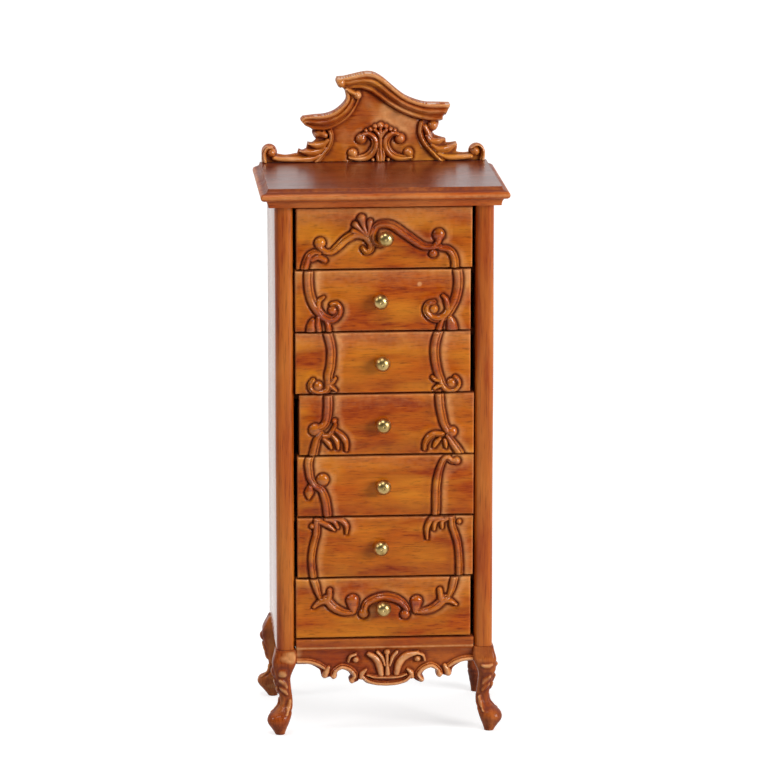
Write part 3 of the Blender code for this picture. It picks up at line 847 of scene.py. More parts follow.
carving[2] = [
    band([(-16.4, 104.4), (-16.5, 101.5), (-16.3, 99.1), (-15.7, 96.9), (-14.7, 95.1), (-13.4, 93.5),
          (-11.6, 92.8), (-10.2, 93.7), (-9.8, 95), (-10.4, 96.1), (-11.5, 96.1)], 2.0, 2.0, 2.0, 1.7, 1.1),
    ball((-11.3, 94.8), 1.05),
    leaf([(-14.5, 94.8), (-14.3, 96.8), (-13.3, 97.7)], 1.4, 1.2, 0.7),
    leaf([(-15.6, 92.6), (-15.9, 91.6), (-16, 90)], 1.2, 1.9, 2.2),
    leaf([(-14.4, 93.2), (-14.5, 92), (-14.2, 90)], 0.9, 1.3, 1.2),
    leaf([(-13, 93), (-12.3, 91.6), (-12.1, 90)], 0.9, 1.1, 1.3),
    band([(15.6, 104), (15.9, 101.4), (15.8, 99.2), (15.2, 96.8), (14.2, 94.8), (13.1, 93.3), (11.6, 92.6),
          (10.2, 92.9), (9.1, 94), (8.9, 95), (9.4, 96), (10.6, 96.3)], 2.0, 2.0, 2.0, 1.7, 1.1),
    ball((10.5, 94.8), 1.05),
    leaf([(13.8, 94.8), (13.2, 96.9), (12.5, 97.7)], 1.4, 1.2, 0.7),
    leaf([(14, 92.8), (14.4, 91.6), (14.6, 90)], 1.4, 2.3, 2.6),
    leaf([(12.6, 92.8), (12, 91.4), (11.7, 90)], 0.9, 1.2, 1.3),
]
print("strokes on drawers 1 and 2:", len(carving[1]), "and", len(carving[2]))

# %% [markdown]
# ## What is carved on the middle fronts
#
# On the third and fourth fronts the two main scrolls come closer together, as a waist does, and turn
# outwards at the lower edge. A given list keeps such turns easy to change: move a point, and the scroll
# follows.

# %% Scrolls of drawers 3 and 4
carving[3] = [
    band([(-12.7, 90.6), (-12, 88.4), (-11.6, 86.3), (-11.6, 84.3), (-11.8, 82.3), (-12.2, 80.5),
          (-12.2, 78.3), (-12.7, 77.1), (-13.8, 76.7), (-15, 76.8), (-16, 77.5), (-16.2, 78.6),
          (-15.6, 79.5)], 1.9, 1.9, 1.9, 1.5, 1.0),
    ball((-14.6, 78.1), 1.2),
    leaf([(-12, 78.6), (-11.4, 79), (-10.8, 79.8)], 1.0, 1.0, 0.8),
    leaf([(-12, 78.3), (-11.2, 77.6), (-10.6, 77.1)], 0.9, 1.0, 0.6),
    band([(11.8, 90.4), (11, 87.6), (10.8, 85.4), (11, 83.2), (11.4, 81.2), (12, 79.4), (12.7, 77.9),
          (13.7, 77), (15, 77), (15.9, 77.9), (15.9, 78.9), (15.2, 79.7)], 1.9, 1.9, 1.8, 1.5, 1.0),
    ball((14.4, 78.4), 1.15),
    leaf([(11.8, 79), (11, 79.2), (10.3, 79.8)], 1.0, 1.0, 0.8),
    leaf([(12.2, 78), (11.4, 77.7), (10.7, 77.2)], 0.9, 1.0, 0.6),
]
carving[4] = [
    band([(-12.4, 77), (-12.3, 74.4), (-12.4, 72.4), (-12.6, 70.8), (-13.1, 69.6), (-14.1, 68.9)],
         1.9, 1.9, 1.6),
    ball((-15.2, 68.5), 1.4),
    ball((-11, 70.4), 0.6),
    band([(-10.8, 69.5), (-11.4, 68.1), (-12.2, 67.2), (-13.4, 67)], 0.9, 1.3, 1.1),
    band([(-13.9, 67.6), (-14.7, 66.4), (-15.1, 65), (-15.6, 62.8)], 1.4, 1.7, 1.9),
    leaf([(-10.7, 68.3), (-9.4, 67.1), (-8.5, 65.6), (-8.4, 63.9)], 0.8, 1.4, 0.8),
    leaf([(-11.5, 67.2), (-10.5, 65.9), (-10.2, 64.3)], 0.8, 1.3, 0.7),
    leaf([(-13.3, 66.5), (-12.2, 65.4), (-11.7, 64.4)], 0.9, 1.3, 0.7),
    band([(11.8, 76.8), (12, 73.6), (12.4, 71.4), (12.9, 69.4), (13.7, 67.8)], 1.9, 1.9, 1.6),
    ball((14.6, 67.6), 1.2),
    band([(13.8, 66.6), (14.9, 64.9), (15.8, 63.6), (16.6, 62.2)], 1.4, 1.8, 1.9),
    band([(12.5, 67.1), (10.7, 67.1), (9.5, 66.4), (8.8, 65.2), (8.6, 63.9)], 1.2, 1.5, 0.9),
    leaf([(11.9, 66.1), (11.2, 65.4), (10.7, 64.4)], 1.0, 1.3, 0.7),
    leaf([(13, 65.8), (13.2, 65.2), (13.3, 64.2)], 0.9, 1.1, 0.6),
]
print("strokes on drawers 3 and 4:", len(carving[3]), "and", len(carving[4]))

# %% [markdown]
# ## What is carved on the lower fronts
#
# The fifth front is the quietest. The leaves at the bottom of the fourth and at the top of the sixth
# belong together: on the real chest they frame it.

# %% Scrolls of drawers 5 and 6
carving[5] = [
    band([(-16.1, 63.2), (-16.6, 61.1), (-16.5, 59.4), (-16.2, 57.7), (-15.4, 56.2)], 1.7, 1.7, 1.5),
    ball((-13.6, 57.3), 1.45),
    leaf([(-16.3, 55.7), (-16.5, 54.7), (-16.6, 53.3)], 1.3, 2.0, 0.7),
    band([(-15.3, 56.1), (-13.8, 55), (-13.2, 53.6), (-12.8, 52), (-12.5, 49.4)], 1.4, 1.8, 1.8),
    band([(15.4, 61.1), (14.6, 61.1), (13.6, 61.8), (12.7, 61.2), (12.1, 59.8), (11.6, 58), (11.3, 55.8),
          (11.2, 53.5), (11.2, 51.3), (11.1, 48.8)], 1.4, 1.3, 1.7, 1.7, 1.7),
    ball((15.6, 61.1), 0.9),
]
carving[6] = [
    band([(-14.8, 48.6), (-14.9, 46.6), (-15, 45), (-15.4, 43.5), (-15.8, 41.6), (-16, 39.6), (-15.9, 37.5),
          (-15.6, 35)], 1.5, 1.5),
    ball((-15.9, 47), 0.6),
    leaf([(-14.4, 48.1), (-12.5, 47.2), (-11.1, 46.1)], 1.2, 1.4, 0.7),
    leaf([(-12.8, 48.5), (-11.2, 48.1), (-10.3, 46.6)], 1.1, 1.3, 0.7),
    leaf([(-11, 48.7), (-9.4, 48.1), (-8.4, 46.9), (-8.4, 45.3)], 1.0, 1.3, 1.1, 0.6),
    band([(14.5, 48.6), (14.7, 46.6), (15.3, 44.8), (15.9, 42.7), (16.2, 40.3), (16.3, 38), (16.3, 35)],
         1.5, 1.5),
    ball((16.2, 47.5), 0.6),
    leaf([(12, 48.4), (10.2, 48.1), (9.2, 46.2), (9.2, 43.8)], 1.0, 1.4, 1.1, 0.6),
    leaf([(12.4, 48.2), (11, 47.6), (10.7, 45.8)], 0.9, 1.3, 0.7),
    leaf([(13.6, 48.2), (12.5, 47.6), (12.5, 46.2)], 0.9, 1.2, 0.7),
]
print("strokes on drawers 5 and 6:", len(carving[5]), "and", len(carving[6]))

# %% [markdown]
# ## What is carved on the lowest front
#
# On the lowest front the scrolls come in from both sides towards an arch in the middle, with petals
# standing between them.

# %% Scrolls of drawer 7
carving[7] = [
    band([(-15.9, 36), (-15.2, 33.9), (-14.8, 32.4), (-14.3, 30.9)], 1.7, 1.6, 0.9),
    leaf([(-12.7, 29.9), (-12.2, 31.2), (-12.1, 32.5)], 1.6, 1.3, 1.2),
    leaf([(-12.6, 30.2), (-14.2, 29.9), (-15.6, 28.8)], 1.8, 1.4, 0.7),
    band([(-12.9, 30.6), (-11.5, 28.9), (-10.2, 28), (-8.9, 27.5), (-7.2, 27.4)], 1.9, 2.0, 1.7, 1.1),
    leaf([(-6.9, 27.6), (-7, 29), (-7.1, 30.1)], 1.1, 2.3, 2.9),
    band([(-4.6, 27.5), (-4.3, 29), (-3.5, 29.8), (-2.2, 30.4), (-0.3, 30.8), (1.5, 30.6), (3, 30),
          (4.1, 29.1), (4.9, 28)], 1.4, 1.8, 2.0, 1.8, 1.4),
    ball((-4.7, 27.2), 1.15),
    ball((4.4, 26.8), 1.1),
    leaf([(6.6, 27.4), (6.8, 28.6), (6.9, 29.7)], 1.1, 2.1, 2.7),
    band([(7, 27.4), (9, 27.5), (10.8, 28.2), (12.1, 29.2), (13.4, 30.3)], 1.1, 1.7, 2.0, 1.8),
    leaf([(12.6, 29.8), (14.2, 29.7), (15.6, 28.8)], 1.7, 1.3, 0.7),
    leaf([(12.4, 29.8), (12.2, 31), (12, 32.2)], 1.6, 1.3, 1.2),
    band([(15.5, 36), (15, 33.6), (14.6, 32.1), (13.9, 30.4)], 1.7, 1.6, 0.9),
]
print("strokes in all:", sum(len(strokes) for strokes in carving.values()))

# %% [markdown]
# ## How a front is carved
#
# The ground swells softly towards each scroll and then drops into a thin groove beside it, where the
# gouge went round. Left of the scrolls the ground gets a painted shadow, and right of them a painted
# highlight. A blurred mask of the scrolls, moved a little to one side, gives both.

# %% Tools for carved ground
SWELL_WIDTH = 1.2
GROOVE_WIDTH = 0.42
GROOVE_WALL = 1.5
# Blur of the scrolls' mask, for the painted shadow and highlight beside them and the varnish on them.
SCROLL_MASK_BLUR = 0.9


def carved_height(across, up, strokes, rise, groove, swell):
    """Height of scrolls over their ground, which swells towards a groove round them, and the gap."""
    gap, share = carve(across, up, strokes)
    outside = np.maximum(gap, 0)
    ground = swell * fall_off(outside, SWELL_WIDTH)
    ground -= (groove + swell) * fall_off(outside, GROOVE_WIDTH, GROOVE_WALL)
    return np.where(gap < 0, (rise + groove) * share - groove, ground), gap


def beside_scrolls(gap, step, shift):
    """A soft mask of the scrolls, moved that far across."""
    soft = soften((gap < 0).astype(float), SCROLL_MASK_BLUR / step)
    return np.roll(soft, round(shift / step), axis=1)


print("the wiped glaze fades over", SCROLL_MASK_BLUR, "mm")

# %% [markdown]
# ## How a front is finished
#
# The upper part of most fronts is paler, their edges are rubbed, and the stain is redder towards the
# bottom of some. A painted shadow darkens the ground left of the scrolls and a painted highlight lightens
# it right of them. Drawer 2 has a small pale chip. Each of these is one soft mask with its own strength,
# so they can be set to match each drawer of the photograph.

# %% Finish of the drawer fronts
FRONT_STEP = 0.125
# How far the painted shadow and painted highlight beside the scrolls are moved across, and their strengths.
PAINTED_LIGHT_SHIFT = 1.1
SHADOW_LEFT_OF_SCROLLS = 0.5
HIGHLIGHT_RIGHT_OF_SCROLLS = 0.9
SCROLL_STAIN = 0.42
# How much paler the upper part of each front is, and how quickly that fades downwards.
TOP_PALING = {1: 0.5, 2: 0.4, 3: 0.45, 4: 0.3, 5: 0.3, 6: 0.15, 7: 0.3}
PALING_FADE = 2.2
BOTTOM_STAIN = {1: 0.1, 2: 0.1, 3: 0.35, 4: 0.6, 5: 0.45, 6: 0.6, 7: 0.05}
STAIN_FADE = 3.4
RUBBED_RIM = 0.35
RUBBED_RIM_WIDTH = 0.5
CHIP = (7.5, 100.3)
CHIP_SIZE = (0.32, 0.32)
CHIP_STRENGTH = 3


def front_finish(number, across, up, distance, gap):
    """Stain, wear, painted shadow and highlight, and thick varnish of a front at each place of its grid."""
    from_top = (up.max() - up) / (up.max() - up.min())
    ground = gap > 0
    stained = BOTTOM_STAIN[number] * np.clip(STAIN_FADE * (from_top - 1) + 1, 0, 1) + SCROLL_STAIN * ~ground
    # Painted shadow on the ground left of the scrolls.
    stained += SHADOW_LEFT_OF_SCROLLS * beside_scrolls(gap, FRONT_STEP, -PAINTED_LIGHT_SHIFT) * ground
    pale_wear_and_highlight = TOP_PALING[number] * np.clip(1 - PALING_FADE * from_top, 0, 1)
    pale_wear_and_highlight += RUBBED_RIM * np.clip(1 + distance / RUBBED_RIM_WIDTH, 0, 1)
    # Painted highlight on the ground right of the scrolls.
    pale_wear_and_highlight += HIGHLIGHT_RIGHT_OF_SCROLLS * np.clip(beside_scrolls(gap, FRONT_STEP, PAINTED_LIGHT_SHIFT), 0, 1) * ground
    pale_wear_and_highlight += CHIP_STRENGTH * soft_spot(across, up, CHIP, CHIP_SIZE)
    return stained, pale_wear_and_highlight, beside_scrolls(gap, FRONT_STEP, 0) * ~ground


print("dustiest front: drawer", max(TOP_PALING, key=TOP_PALING.get))

# %% [markdown]
# ## The drawer fronts
#
# Each front is a board in relief. Its ground lies a little behind the frame's front face and its scrolls
# stand a little before it, so the carving takes the room that the real carver had. The edges are eased
# with fine paper, and slow waves in the ground catch the light the way planed wood does. The lower three
# fronts are cut a hair wider on the left, as they are on the real chest, and still clear their openings.

# %% Carve the drawer fronts
GROUND_BACK = 0.10
SCROLL_RISE = 0.70
GROOVE_DEPTH = 0.36
SWELL = 0.26
EASED = 0.40
PLANE_WAVES = 0.025
PLANE_WAVE_SIZE = 1.6
# How much paler the ridges of the scrolls are: wear and painted highlight.
SCROLL_RIDGE_WEAR_AND_HIGHLIGHT = 0.12
LEFT_REACH = {5: 0.45, 6: 0.4, 7: 0.3}

for number, strokes in carving.items():
    part = f"drawer_{number}_front"
    low, high = where(part)
    low[0] -= LEFT_REACH.get(number, 0)
    across, up = grid(low[[0, 2]], high[[0, 2]], FRONT_STEP)
    distance = rectangle_distance(across, up, low[[0, 2]], high[[0, 2]])
    carved, gap = carved_height(across, up, strokes, SCROLL_RISE, GROOVE_DEPTH, SWELL)
    height = high[1] - low[1] - GROUND_BACK + carved
    height += PLANE_WAVES * unevenness(across.shape, PLANE_WAVE_SIZE / FRONT_STEP, number)
    height -= eased_edge(distance, EASED)
    finish = front_finish(number, across, up, distance, gap)
    mesh = relief_board(part, across, up, distance, height, high[1], *finish, ridge_wear_and_highlight=SCROLL_RIDGE_WEAR_AND_HIGHLIGHT)
    place(mesh, part, front_wood)
    print(part, len(mesh.polygons), "faces")

# %% [markdown]
# ## Skins over rings
#
# A knob, a leg, a rounded post and a moulded edge have one thing in common: cut across, each shows a
# simple ring. `loft` lays a skin over a stack of such rings and closes both ends. Blender's Screw modifier
# would do for the knob, but not for the legs, whose rings change shape on the way down. The profile of the
# knob gives the radius of each ring and its reach before the drawer's ground.

# %% Tool for skins, and the profile of a knob
KNOB_STEP = 0.12
KNOB_CURVE = [(0.12, 2.9), (0.26, 2.97), (0.7, 2.9), (1.2, 2.58), (1.58, 2.02), (1.7, 1.5), (1.56, 0.92),
              (1.1, 0.5), (0.82, 0.34)]
KNOB_COLLAR = [(1.0, 0.32), (1.1, 0.22), (1.1, 0.02), (0.6, 0.0), (0.6, -0.9)]


def loft(name, rings):
    """A closed skin over a stack of rings, each with the same number of points."""
    rings = np.asarray(rings)
    rows, sides = rings.shape[:2]
    number = np.arange(rows * sides).reshape(rows, sides)
    after = np.roll(number, -1, axis=1)
    skin = np.stack([number[:-1], after[:-1], after[1:], number[1:]], axis=-1).reshape(-1, 4)
    faces = skin.tolist() + [number[0].tolist(), number[-1].tolist()]
    mesh = mesh_from_points(name, rings.reshape(-1, 3), faces)
    for end in list(mesh.polygons)[-2:]:
        end.use_smooth = False
    return mesh


knob_profile = np.vstack([smooth_line(KNOB_CURVE, KNOB_STEP), KNOB_COLLAR])
print("a knob has", len(knob_profile), "rings")

# %% [markdown]
# ## The knobs
#
# Each knob was turned on a lathe, so its mesh is a profile swept round an axis. A shallow dimple in the
# middle is left from the lathe's centre, and a collar sits at the foot. The shank reaches back into the
# bored front.

# %% Turn the knobs
KNOB_SIDES = 56

angles = np.linspace(0, 2 * np.pi, KNOB_SIDES, endpoint=False)
for number in carving:
    part = f"drawer_{number}_knob"
    low, high = where(part)
    ground_y = where(f"drawer_{number}_front")[0][1] + GROUND_BACK
    centre_x, centre_z = (low[0] + high[0]) / 2, (low[2] + high[2]) / 2
    rings = []
    for radius, reach in knob_profile:
        x = centre_x + radius * np.cos(angles)
        z = centre_z + radius * np.sin(angles)
        rings.append(np.column_stack([x, np.full(KNOB_SIDES, ground_y - reach), z]))
    place(loft(part, rings), part, brass)
print("knobs turned:", len(carving))

# %% [markdown]
# ## The outline of the crest
#
# The crest is one board, sawn to shape and then carved. Its outline is drawn as a chain of soft curves
# that meet in corners, from the volute at the left end, over the leaves and the two mouldings, to the
# volute at the right end. Heights count from the flat of the top board.

# %% Draw the crest's outline
LOWER_RUN = [(-13.1, 10.5), (-10.8, 10.7), (-8.8, 11.4), (-7.2, 12.6), (-6.3, 13.7), (-6.1, 14.6)]
UPPER_RUN = [(-6.6, 19), (-4.8, 19.4), (-2.5, 19.9), (-0.9, 20), (0.6, 19.6), (2.3, 18.5), (4.5, 16.6),
             (6.8, 14.8), (9.2, 13.7), (11.5, 13.1), (13.8, 13)]
CREST_OUTLINE = np.vstack(
    [
        [(-24.8, 0)],
        arc((-23.1, 2.3), 1.7, 180, -20),
        smooth_line([(-21.4, 1.8), (-19.4, 1.5), (-16.9, 1.9)]),
        smooth_line([(-16.6, 2.9), (-15.7, 2.6), (-14.9, 3.0)]),
        smooth_line([(-14.6, 4.4), (-13.6, 4.3), (-12.7, 5.0)]),
        smooth_line([(-13.4, 5.9), (-13.6, 6.6), (-13.5, 7.3)]),
        smooth_line([(-14.2, 7.8), (-15.2, 8.3), (-16.2, 9.4), (-15.7, 10.2)]),
        smooth_line([*LOWER_RUN, (-6.4, 16)]),
        smooth_line([(-6.9, 16.6), (-7.8, 16.9), (-8.4, 18), (-8.1, 18.9)]),
        smooth_line([*UPPER_RUN, (16.8, 12.9)]),
        smooth_line([(16.9, 12.3), (16.4, 11), (15.4, 10.1), (15.2, 9)]),
        smooth_line([(14.5, 8.9), (14.4, 7.9), (13.8, 6.9), (13.1, 6.5)]),
        smooth_line([(13.6, 5.7), (14.6, 5.3), (16, 4.9)]),
        smooth_line([(16.1, 3.9), (17.1, 3.9), (18.4, 4.1)]),
        smooth_line([(18.6, 3), (18.5, 1.9), (19.8, 1.6), (21.3, 1.7)]),
        arc((22.95, 1.9), 1.8, 190, 0),
        [(24.75, 0)],
    ]
)
print("crest outline:", len(CREST_OUTLINE), "points")

# %% [markdown]
# ## The mouldings of the crest
#
# A moulding is easy to carve on a grid: its two edges are drawn, and each place between them takes its
# height from a profile, by how far it lies from the one edge to the other. This is how a moulding plane
# would have shaped it, only along a curve.

# %% Tool for mouldings
UPPER_TOP = [(-8.4, 18.6), *UPPER_RUN, (17, 12.9)]
UPPER_FOOT = [(-7.4, 16.6), (-5.9, 16.1), (-4.4, 16.3), (-2.6, 16.2), (-0.6, 15.4), (1.8, 13.7), (4.2, 12),
              (7.4, 10.3), (10.7, 9.2), (13.2, 8.9), (15.2, 9)]
LOWER_TOP = [(-16.3, 9.6), (-15.4, 10.3), *LOWER_RUN, (-6.6, 16.2)]
LOWER_FOOT = [(-15, 7.9), (-13.3, 7.1), (-10.6, 7), (-8.3, 7.9), (-6.1, 9.3), (-4.6, 10.9), (-3.6, 12.7),
              (-3, 14.3), (-2.9, 16)]
# Share of the way from the top edge to the foot of a moulding, and the height there.
MOULDING_PROFILE = [(0, 3.75), (0.1, 3.85), (0.2, 3.8), (0.25, 3.35), (0.3, 3.25), (0.38, 3.62), (0.47, 3.6),
                    (0.56, 3.2), (0.64, 2.7), (0.7, 2.5), (0.76, 2.6), (0.83, 2.85), (0.9, 2.7), (0.96, 2.2),
                    (1, 1.75)]


def moulding(across, up, top, foot):
    """Where a moulding lies on the grid, its height there, and how far its foot is."""
    top_line, foot_line = smooth_line(top), smooth_line(foot)
    inside = inside_outline(across, up, np.vstack([top_line, foot_line[::-1]]))
    from_top = distance_to_line(across, up, top_line)
    from_foot = distance_to_line(across, up, foot_line)
    shares, heights = np.transpose(MOULDING_PROFILE)
    return inside, np.interp(from_top / (from_top + from_foot + TINY), shares, heights), from_foot


print("moulding profile:", len(MOULDING_PROFILE), "points")

# %% [markdown]
# ## What is carved on the crest
#
# Leaves, strips and the palmette in the middle are strokes, as on the drawers. Half of the palmette is
# drawn and mirrored, since here the two sides match, as if they were cut from a folded pattern.

# %% Palmette of the crest
PALMETTE_MIDDLE = 1.5

half_palmette = [
    band([(5.3, 6), (4.2, 6.2), (3, 5.3), (2.6, 4), (3.1, 2.4), (4.5, 1.1), (6.3, 0.7), (8.2, 0.9)],
         1.0, 1.7, 1.9, 1.7, 1.0),
    ball((5.8, 5.1), 1.2),
    ball((7.7, 1.9), 1.1),
    leaf([(1.6, 5.4), (2.1, 6.4), (2.8, 7.1)], 0.7, 1.0, 0.9),
    ball((2.7, 7.8), 0.6),
    ball((3.7, 7.2), 0.55),
    ball((4.7, 6.9), 0.45),
    leaf([(2, 0.2), (2.2, 1.4), (2.1, 2.8)], 1.0, 0.8, 0.4),
    ball((3.2, 0.4), 0.45),
]
palmette = half_palmette + mirrored(half_palmette, PALMETTE_MIDDLE)
palmette += [
    leaf([(1.5, 0.2), (1.5, 3.4), (1.5, 6)], 1.6, 0.9, 0.8),
    ball((1.5, 8), 0.85),
    leaf([(1.5, 5.6), (1.5, 6.8), (1.5, 7.6)], 0.6, 1.0, 0.6),
]
print("palmette strokes:", len(palmette))

# %% [markdown]
# ## The leaves of the crest
#
# Two strips, one on each side, part the panel in the middle from the leaves beside it. The leaves and the
# volutes at the ends are drawn one by one, because here left and right differ. The rolled end is the knot
# of small bosses where the two mouldings meet.

# %% Leaves of the crest
left_strip = band([(-9.9, 7.4), (-9.4, 5.5), (-10.1, 3.3), (-11.5, 1.5), (-13, -0.2)], 1.1, 1.2, 1.3)
right_strip = band([(10.6, 8.5), (10.4, 6.3), (11.3, 4.1), (13.1, 2), (15.3, -0.2)], 1.1, 1.2, 1.3)
crest_leaves = [
    left_strip,
    leaf([(-10.8, 6), (-11.8, 6.5), (-12.6, 6.3)], 1.6, 2.0, 1.5),
    leaf([(-10.2, 4.9), (-11.2, 4), (-12.6, 3.7), (-14.3, 4.1)], 1.0, 1.8, 1.7, 0.6),
    leaf([(-10.9, 3.2), (-12.2, 2.4), (-14, 2.1), (-16.2, 2.5)], 1.0, 1.8, 1.7, 0.6),
    leaf([(-12, 1.5), (-14, 0.7), (-17, 0.6), (-20.5, 0.7), (-22, 1)], 1.0, 1.6, 1.3, 1.2, 1.2),
    band([(-24.2, 0.2), (-24.4, 1.8), (-23.8, 3.2), (-22.6, 3.4)], 1.1, 1.3, 1.0, 0.7),
    ball((-22.7, 2.3), 1.05),
    right_strip,
    ball((13.1, 7.9), 1.2),
    leaf([(11.4, 7.6), (12, 6.4), (12.6, 5.4)], 1.4, 1.5, 0.9),
    leaf([(11.8, 5.6), (12.8, 4.5), (14.2, 4.3), (15.8, 5)], 1.0, 1.8, 1.6, 0.6),
    leaf([(12.9, 3.6), (14.4, 2.6), (16.3, 2.6), (18.4, 3.7)], 1.0, 1.9, 1.8, 0.6),
    leaf([(14.4, 1.6), (16.4, 0.8), (19.2, 0.7), (21.6, 0.9)], 1.0, 1.6, 1.3, 1.2),
    band([(24.2, 0.2), (24.4, 1.7), (23.8, 3.1), (22.6, 3.4), (21.8, 2.8)], 1.1, 1.3, 1.1, 0.8),
    ball((22.6, 2.1), 1.1),
]
rolled_end = [
    ball((-7.4, 17.8), 1.15),
    leaf([(-6.1, 16.4), (-5.2, 15.8), (-4.4, 15.4)], 0.7, 1.2, 1.0),
    ball((-3.7, 15), 0.95),
]
print("crest strokes:", len(palmette) + len(crest_leaves) + len(rolled_end))

# %% [markdown]
# ## Heights of the crest
#
# The heights are built up in the order in which the crest would be carved: the ground of the panel and of
# the leaves, the palmette, the leaves, the lower moulding and then the upper one in front of it, and last
# the rolled end where the two meet. Each has a thin groove along its foot.

# %% Heights of the crest
CREST_STEP = 0.12
CREST_GRID = (-25.4, -0.5), (25.4, 20.5)
PANEL_HEAD = [(-9.9, 9), (-4, 17), (10.6, 14)]
PANEL_HEIGHT = 1.75
LEAF_GROUND = 1.35
LEAF_FOOT = 1.15
LEAF_RISE = 1.5
PALMETTE_CUT = {"rise": 0.85, "groove": 0.3, "swell": 0.2}
GROOVE_POWER = 1.3
STRIP_GROOVE = 0.3
STRIP_GROOVE_WIDTH = 0.5
MOULDING_GROOVE = 0.25
MOULDING_GROOVE_WIDTH = 0.4
LOWER_SET_BACK = 0.35
ROLL_FOOT = 2.6
ROLL_RISE = 1.45
GOUGE_WAVES = 0.02
GOUGE_WAVE_SIZE = 0.8
CREST_SEED = 11
CREST_EASED = 0.22
THINNEST = 0.5

across, up = grid(*CREST_GRID, CREST_STEP)
distance = np.maximum(outline_distance(across, up, CREST_OUTLINE), -up)
panel_edge = np.vstack([smooth_line(left_strip[0])[::-1], PANEL_HEAD, smooth_line(right_strip[0])])
in_panel = inside_outline(across, up, panel_edge)
height = np.where(in_panel, PANEL_HEIGHT, LEAF_GROUND)
raised, palmette_gap = carved_height(across, up, palmette, **PALMETTE_CUT)
height += np.where(in_panel, raised, 0)
leaf_gap, share = carve(across, up, crest_leaves)
height = np.where(leaf_gap < 0, np.maximum(height, LEAF_FOOT + LEAF_RISE * share), height)
groove = STRIP_GROOVE * fall_off(leaf_gap, STRIP_GROOVE_WIDTH, GROOVE_POWER)
height -= np.where(in_panel & (leaf_gap > 0), groove, 0)
for top, foot, set_back in ((LOWER_TOP, LOWER_FOOT, LOWER_SET_BACK), (UPPER_TOP, UPPER_FOOT, 0)):
    inside, shaped, from_foot = moulding(across, up, top, foot)
    groove = MOULDING_GROOVE * fall_off(from_foot, MOULDING_GROOVE_WIDTH, GROOVE_POWER)
    height -= np.where(in_panel & ~inside, groove, 0)
    height = np.where(inside, shaped - set_back, height)
roll_gap, share = carve(across, up, rolled_end)
height = np.where(roll_gap < 0, np.maximum(height, ROLL_FOOT + ROLL_RISE * share), height)
height += GOUGE_WAVES * unevenness(across.shape, GOUGE_WAVE_SIZE / CREST_STEP, CREST_SEED)
height -= eased_edge(distance, CREST_EASED)
height = np.maximum(height, THINNEST)
print("crest stands up to", round(float(height.max()), 1), "mm before its back")

# %% [markdown]
# ## The crest
#
# A painted pool of light makes the panel pale at the right of the palmette. Right of the palmette's strokes
# lies a painted highlight and left of them a painted shadow, and an uneven patina lies over the whole crest.
# The varnish pooled on the carved parts and is thinner on the flat panel.

# %% Carve the crest
CREST_MASK_DEPTH = 0.45
# A painted pool of light on the panel right of the palmette, and a painted highlight right of its strokes.
LIGHT_POOL = 1.3
LIGHT_POOL_PLACE = (5.5, 9)
LIGHT_POOL_SIZE = (4.5, 3.5)
PALMETTE_HIGHLIGHT = 0.5
PALMETTE_STAIN = 0.25
# Painted shadow on the ground left of the palmette's strokes.
PALMETTE_SHADE = 0.4
PATINA = 0.32
PATINA_SIZE = 0.9
PATINA_SEED = 14
PANEL_VARNISH = 0.3

crest_low, crest_high = where("crest_board")
ground = palmette_gap > 0
# Painted pool of light and painted highlight; the pale side of the patina is added below.
highlight_and_pale_patina = LIGHT_POOL * soft_spot(across, up, LIGHT_POOL_PLACE, LIGHT_POOL_SIZE) * in_panel * ground
highlight_and_pale_patina += PALMETTE_HIGHLIGHT * np.clip(beside_scrolls(palmette_gap, CREST_STEP, PAINTED_LIGHT_SHIFT), 0, 1) * ground
darkened = PALMETTE_STAIN * (palmette_gap < 0)
# Painted shadow left of the palmette's strokes.
darkened = darkened + PALMETTE_SHADE * beside_scrolls(palmette_gap, CREST_STEP, -PAINTED_LIGHT_SHIFT) * ground
patina = PATINA * unevenness(across.shape, PATINA_SIZE / CREST_STEP, PATINA_SEED)
darkened += np.clip(patina, 0, 1)
highlight_and_pale_patina += np.clip(-patina, 0, 1)
pooled = np.where((roll_gap < 0) | (palmette_gap < 0) | ~in_panel, 1.0, PANEL_VARNISH)
mesh = relief_board("crest", across, up + crest_low[2], distance, height, crest_high[1],
                    darkened, highlight_and_pale_patina, pooled, mask_depth=CREST_MASK_DEPTH)
place(mesh, "crest_board", crest_wood)
print("crest:", len(mesh.polygons), "faces")

# %% [markdown]
# ## The outline and the strokes of the apron
#
# Under the lowest drawer a plain rail carries a fretted edge of scrolls round a palmette. The edge and the
# scrolls were drawn for the left half and mirrored. The palmette's two petals differ, as they do in the
# photo.

# %% Draw the apron
APRON_MIDDLE = 0.4
APRON_END = 15.7
# Well beyond the rail, so that only the lower edge of this outline cuts the board.
BEYOND = 30

